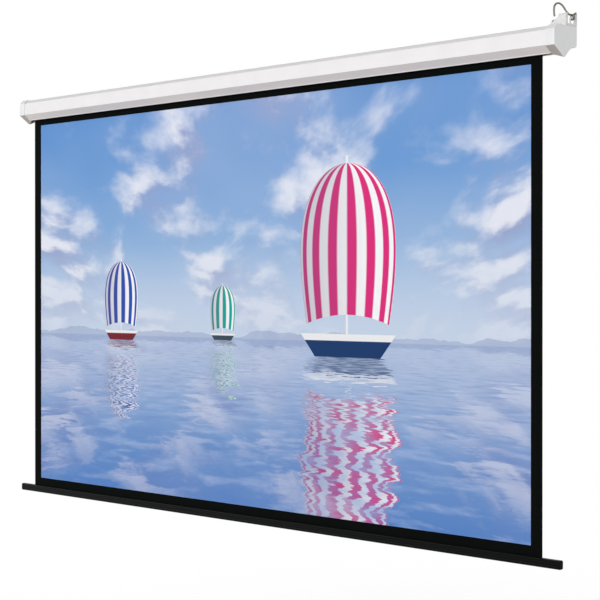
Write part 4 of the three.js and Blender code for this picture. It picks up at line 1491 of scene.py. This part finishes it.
@dataclass(frozen=True)
class Studio:
    """The camera, the soft lights, the white surroundings and the pale floor."""

    eye: Triple = (3.9127, -3.5015, -0.6563)
    tilt: float = math.radians(89.732)
    heading: float = math.radians(46.875)
    lens: float = 102.10
    sensor: float = 36.0
    floor_height: float = -2.1
    floor_reach: float = 14.0
    floor_sides: int = 96
    floor_wear: Grain = Grain(3.0, 4.0)
    floor_tones: tuple[str, str] = ("#b4b4b4", "#bcbcbc")

    # What the floor gives off: the first lights the object from below, the second makes the floor look
    # nearly white while the shadow on it still shows
    floor_bounce: float = 0.3
    floor_glow: float = 0.68
    shadow_reach: float = 2.2
    lamps: tuple[Lamp, ...] = (
        Lamp("key", (0.45, -0.81, 0.0), 2.92, math.radians(50)),
        Lamp("top", (-0.2, -0.1, 1.0), 0.15, math.radians(90)),
        Lamp("left", (-0.72, -0.42, 0.55), 0.4, math.radians(20)),
        Lamp("rear", (-0.25, 0.9, 0.8), 1.6, math.radians(70)),
    )
    sky_strength: float = 0.12

    def camera(self) -> None:
        """Places the camera where the photograph was taken from."""
        data = bpy.data.cameras.new("camera")
        data.lens = self.lens
        data.sensor_width = self.sensor
        camera = bpy.data.objects.new("camera", data)
        camera.location = self.eye
        camera.rotation_euler = (self.tilt, 0.0, self.heading)
        bpy.context.scene.collection.objects.link(camera)
        bpy.context.scene.camera = camera

    def lights(self) -> None:
        """Adds the lamps as suns with wide soft discs."""
        for lamp in self.lamps:
            data = bpy.data.lights.new(lamp.name, "SUN")
            data.energy = lamp.strength
            data.angle = lamp.width
            made = bpy.data.objects.new(lamp.name, data)
            made.rotation_euler = Vector(lamp.origin).to_track_quat("Z", "Y").to_euler()
            bpy.context.scene.collection.objects.link(made)

    def shown(self, recipe: Recipe) -> Socket:
        """Writes which rays show a thing: those from the camera, in a reflection or through glass.

        Args:
            recipe: The node tree of the material or world.

        Returns:
            1 for those rays, and 0 for the rays by which the thing lights others.
        """
        kinds = ("Camera", "Glossy", "Transmission")
        seen, mirrored, clear = (recipe.add("LightPath", output=f"Is {kind} Ray") for kind in kinds)
        either = recipe.add("Math", seen, mirrored, operation="MAXIMUM")
        return recipe.add("Math", either, clear, operation="MAXIMUM")

    def surroundings(self) -> None:
        """Shows white to the camera and in reflections, and lights the object dimly from all round."""
        world = bpy.data.worlds.new("surroundings")
        bpy.context.scene.world = world
        recipe = Recipe.blank(world)
        strength = recipe.add("MapRange", self.shown(recipe), *Fade(0.0, 1.0, self.sky_strength))
        recipe.add("OutputWorld", recipe.add("Background", "#ffffff", strength))

    def floor_material(self) -> bpy.types.Material:
        """Builds the floor's material, which keeps the shadow close by and fades to white further off.

        Returns:
            The new material.
        """
        material = bpy.data.materials.new("pale_floor")
        recipe = Recipe.blank(material)
        add = recipe.add
        place = add("TexCoord", output="Object")
        flat = add("VectorMath", place, (1.0, 1.0, 0.0), operation="MULTIPLY")
        away = add("VectorMath", flat, operation="LENGTH", output="Value")
        fade = Fade(self.shadow_reach, 2 * self.shadow_reach)
        far = add("MapRange", away, *fade, interpolation_type="SMOOTHSTEP")
        shown = self.shown(recipe)
        wear = add("TexNoise", place, into=self.floor_wear.inputs())
        dull = add("BsdfDiffuse", add("MixRGB", wear, *self.floor_tones))
        strength = add("MapRange", shown, *Fade(0.0, 1.0, self.floor_bounce, self.floor_glow))
        near = add("AddShader", dull, add("Emission", "#ffffff", strength))
        white = add("Emission", "#ffffff", 1.0)
        add("OutputMaterial", add("MixShader", add("Math", far, shown, operation="MULTIPLY"), near, white))
        return material

    def floor(self) -> None:
        """Adds the pale floor below the object."""
        shape = bmesh.new()
        bmesh.ops.create_circle(shape, cap_ends=True, radius=self.floor_reach, segments=self.floor_sides)
        bmesh.ops.translate(shape, vec=(0.0, 0.0, self.floor_height), verts=shape.verts)
        mesh = bpy.data.meshes.new("floor")
        shape.to_mesh(mesh)
        shape.free()
        mesh.materials.append(self.floor_material())
        made = bpy.data.objects.new("floor", mesh)
        bpy.context.scene.collection.objects.link(made)

    def build(self) -> None:
        """Sets up the whole studio."""
        self.camera()
        self.lights()
        self.surroundings()
        self.floor()
        bpy.context.scene.view_settings.view_transform = "Standard"


def main() -> None:
    """Builds the studio and the sub-assemblies."""
    logging.basicConfig(level=logging.INFO, format="%(name)s: %(message)s")
    Studio().build()
    workshop = Workshop(Paints())
    for assembly in (Case, HangerBracket, Roller, ScreenFabric, BottomBar):
        log.info("building %s", assembly.__name__)
        assembly(workshop).build()


if __name__ == "__main__":
    main()
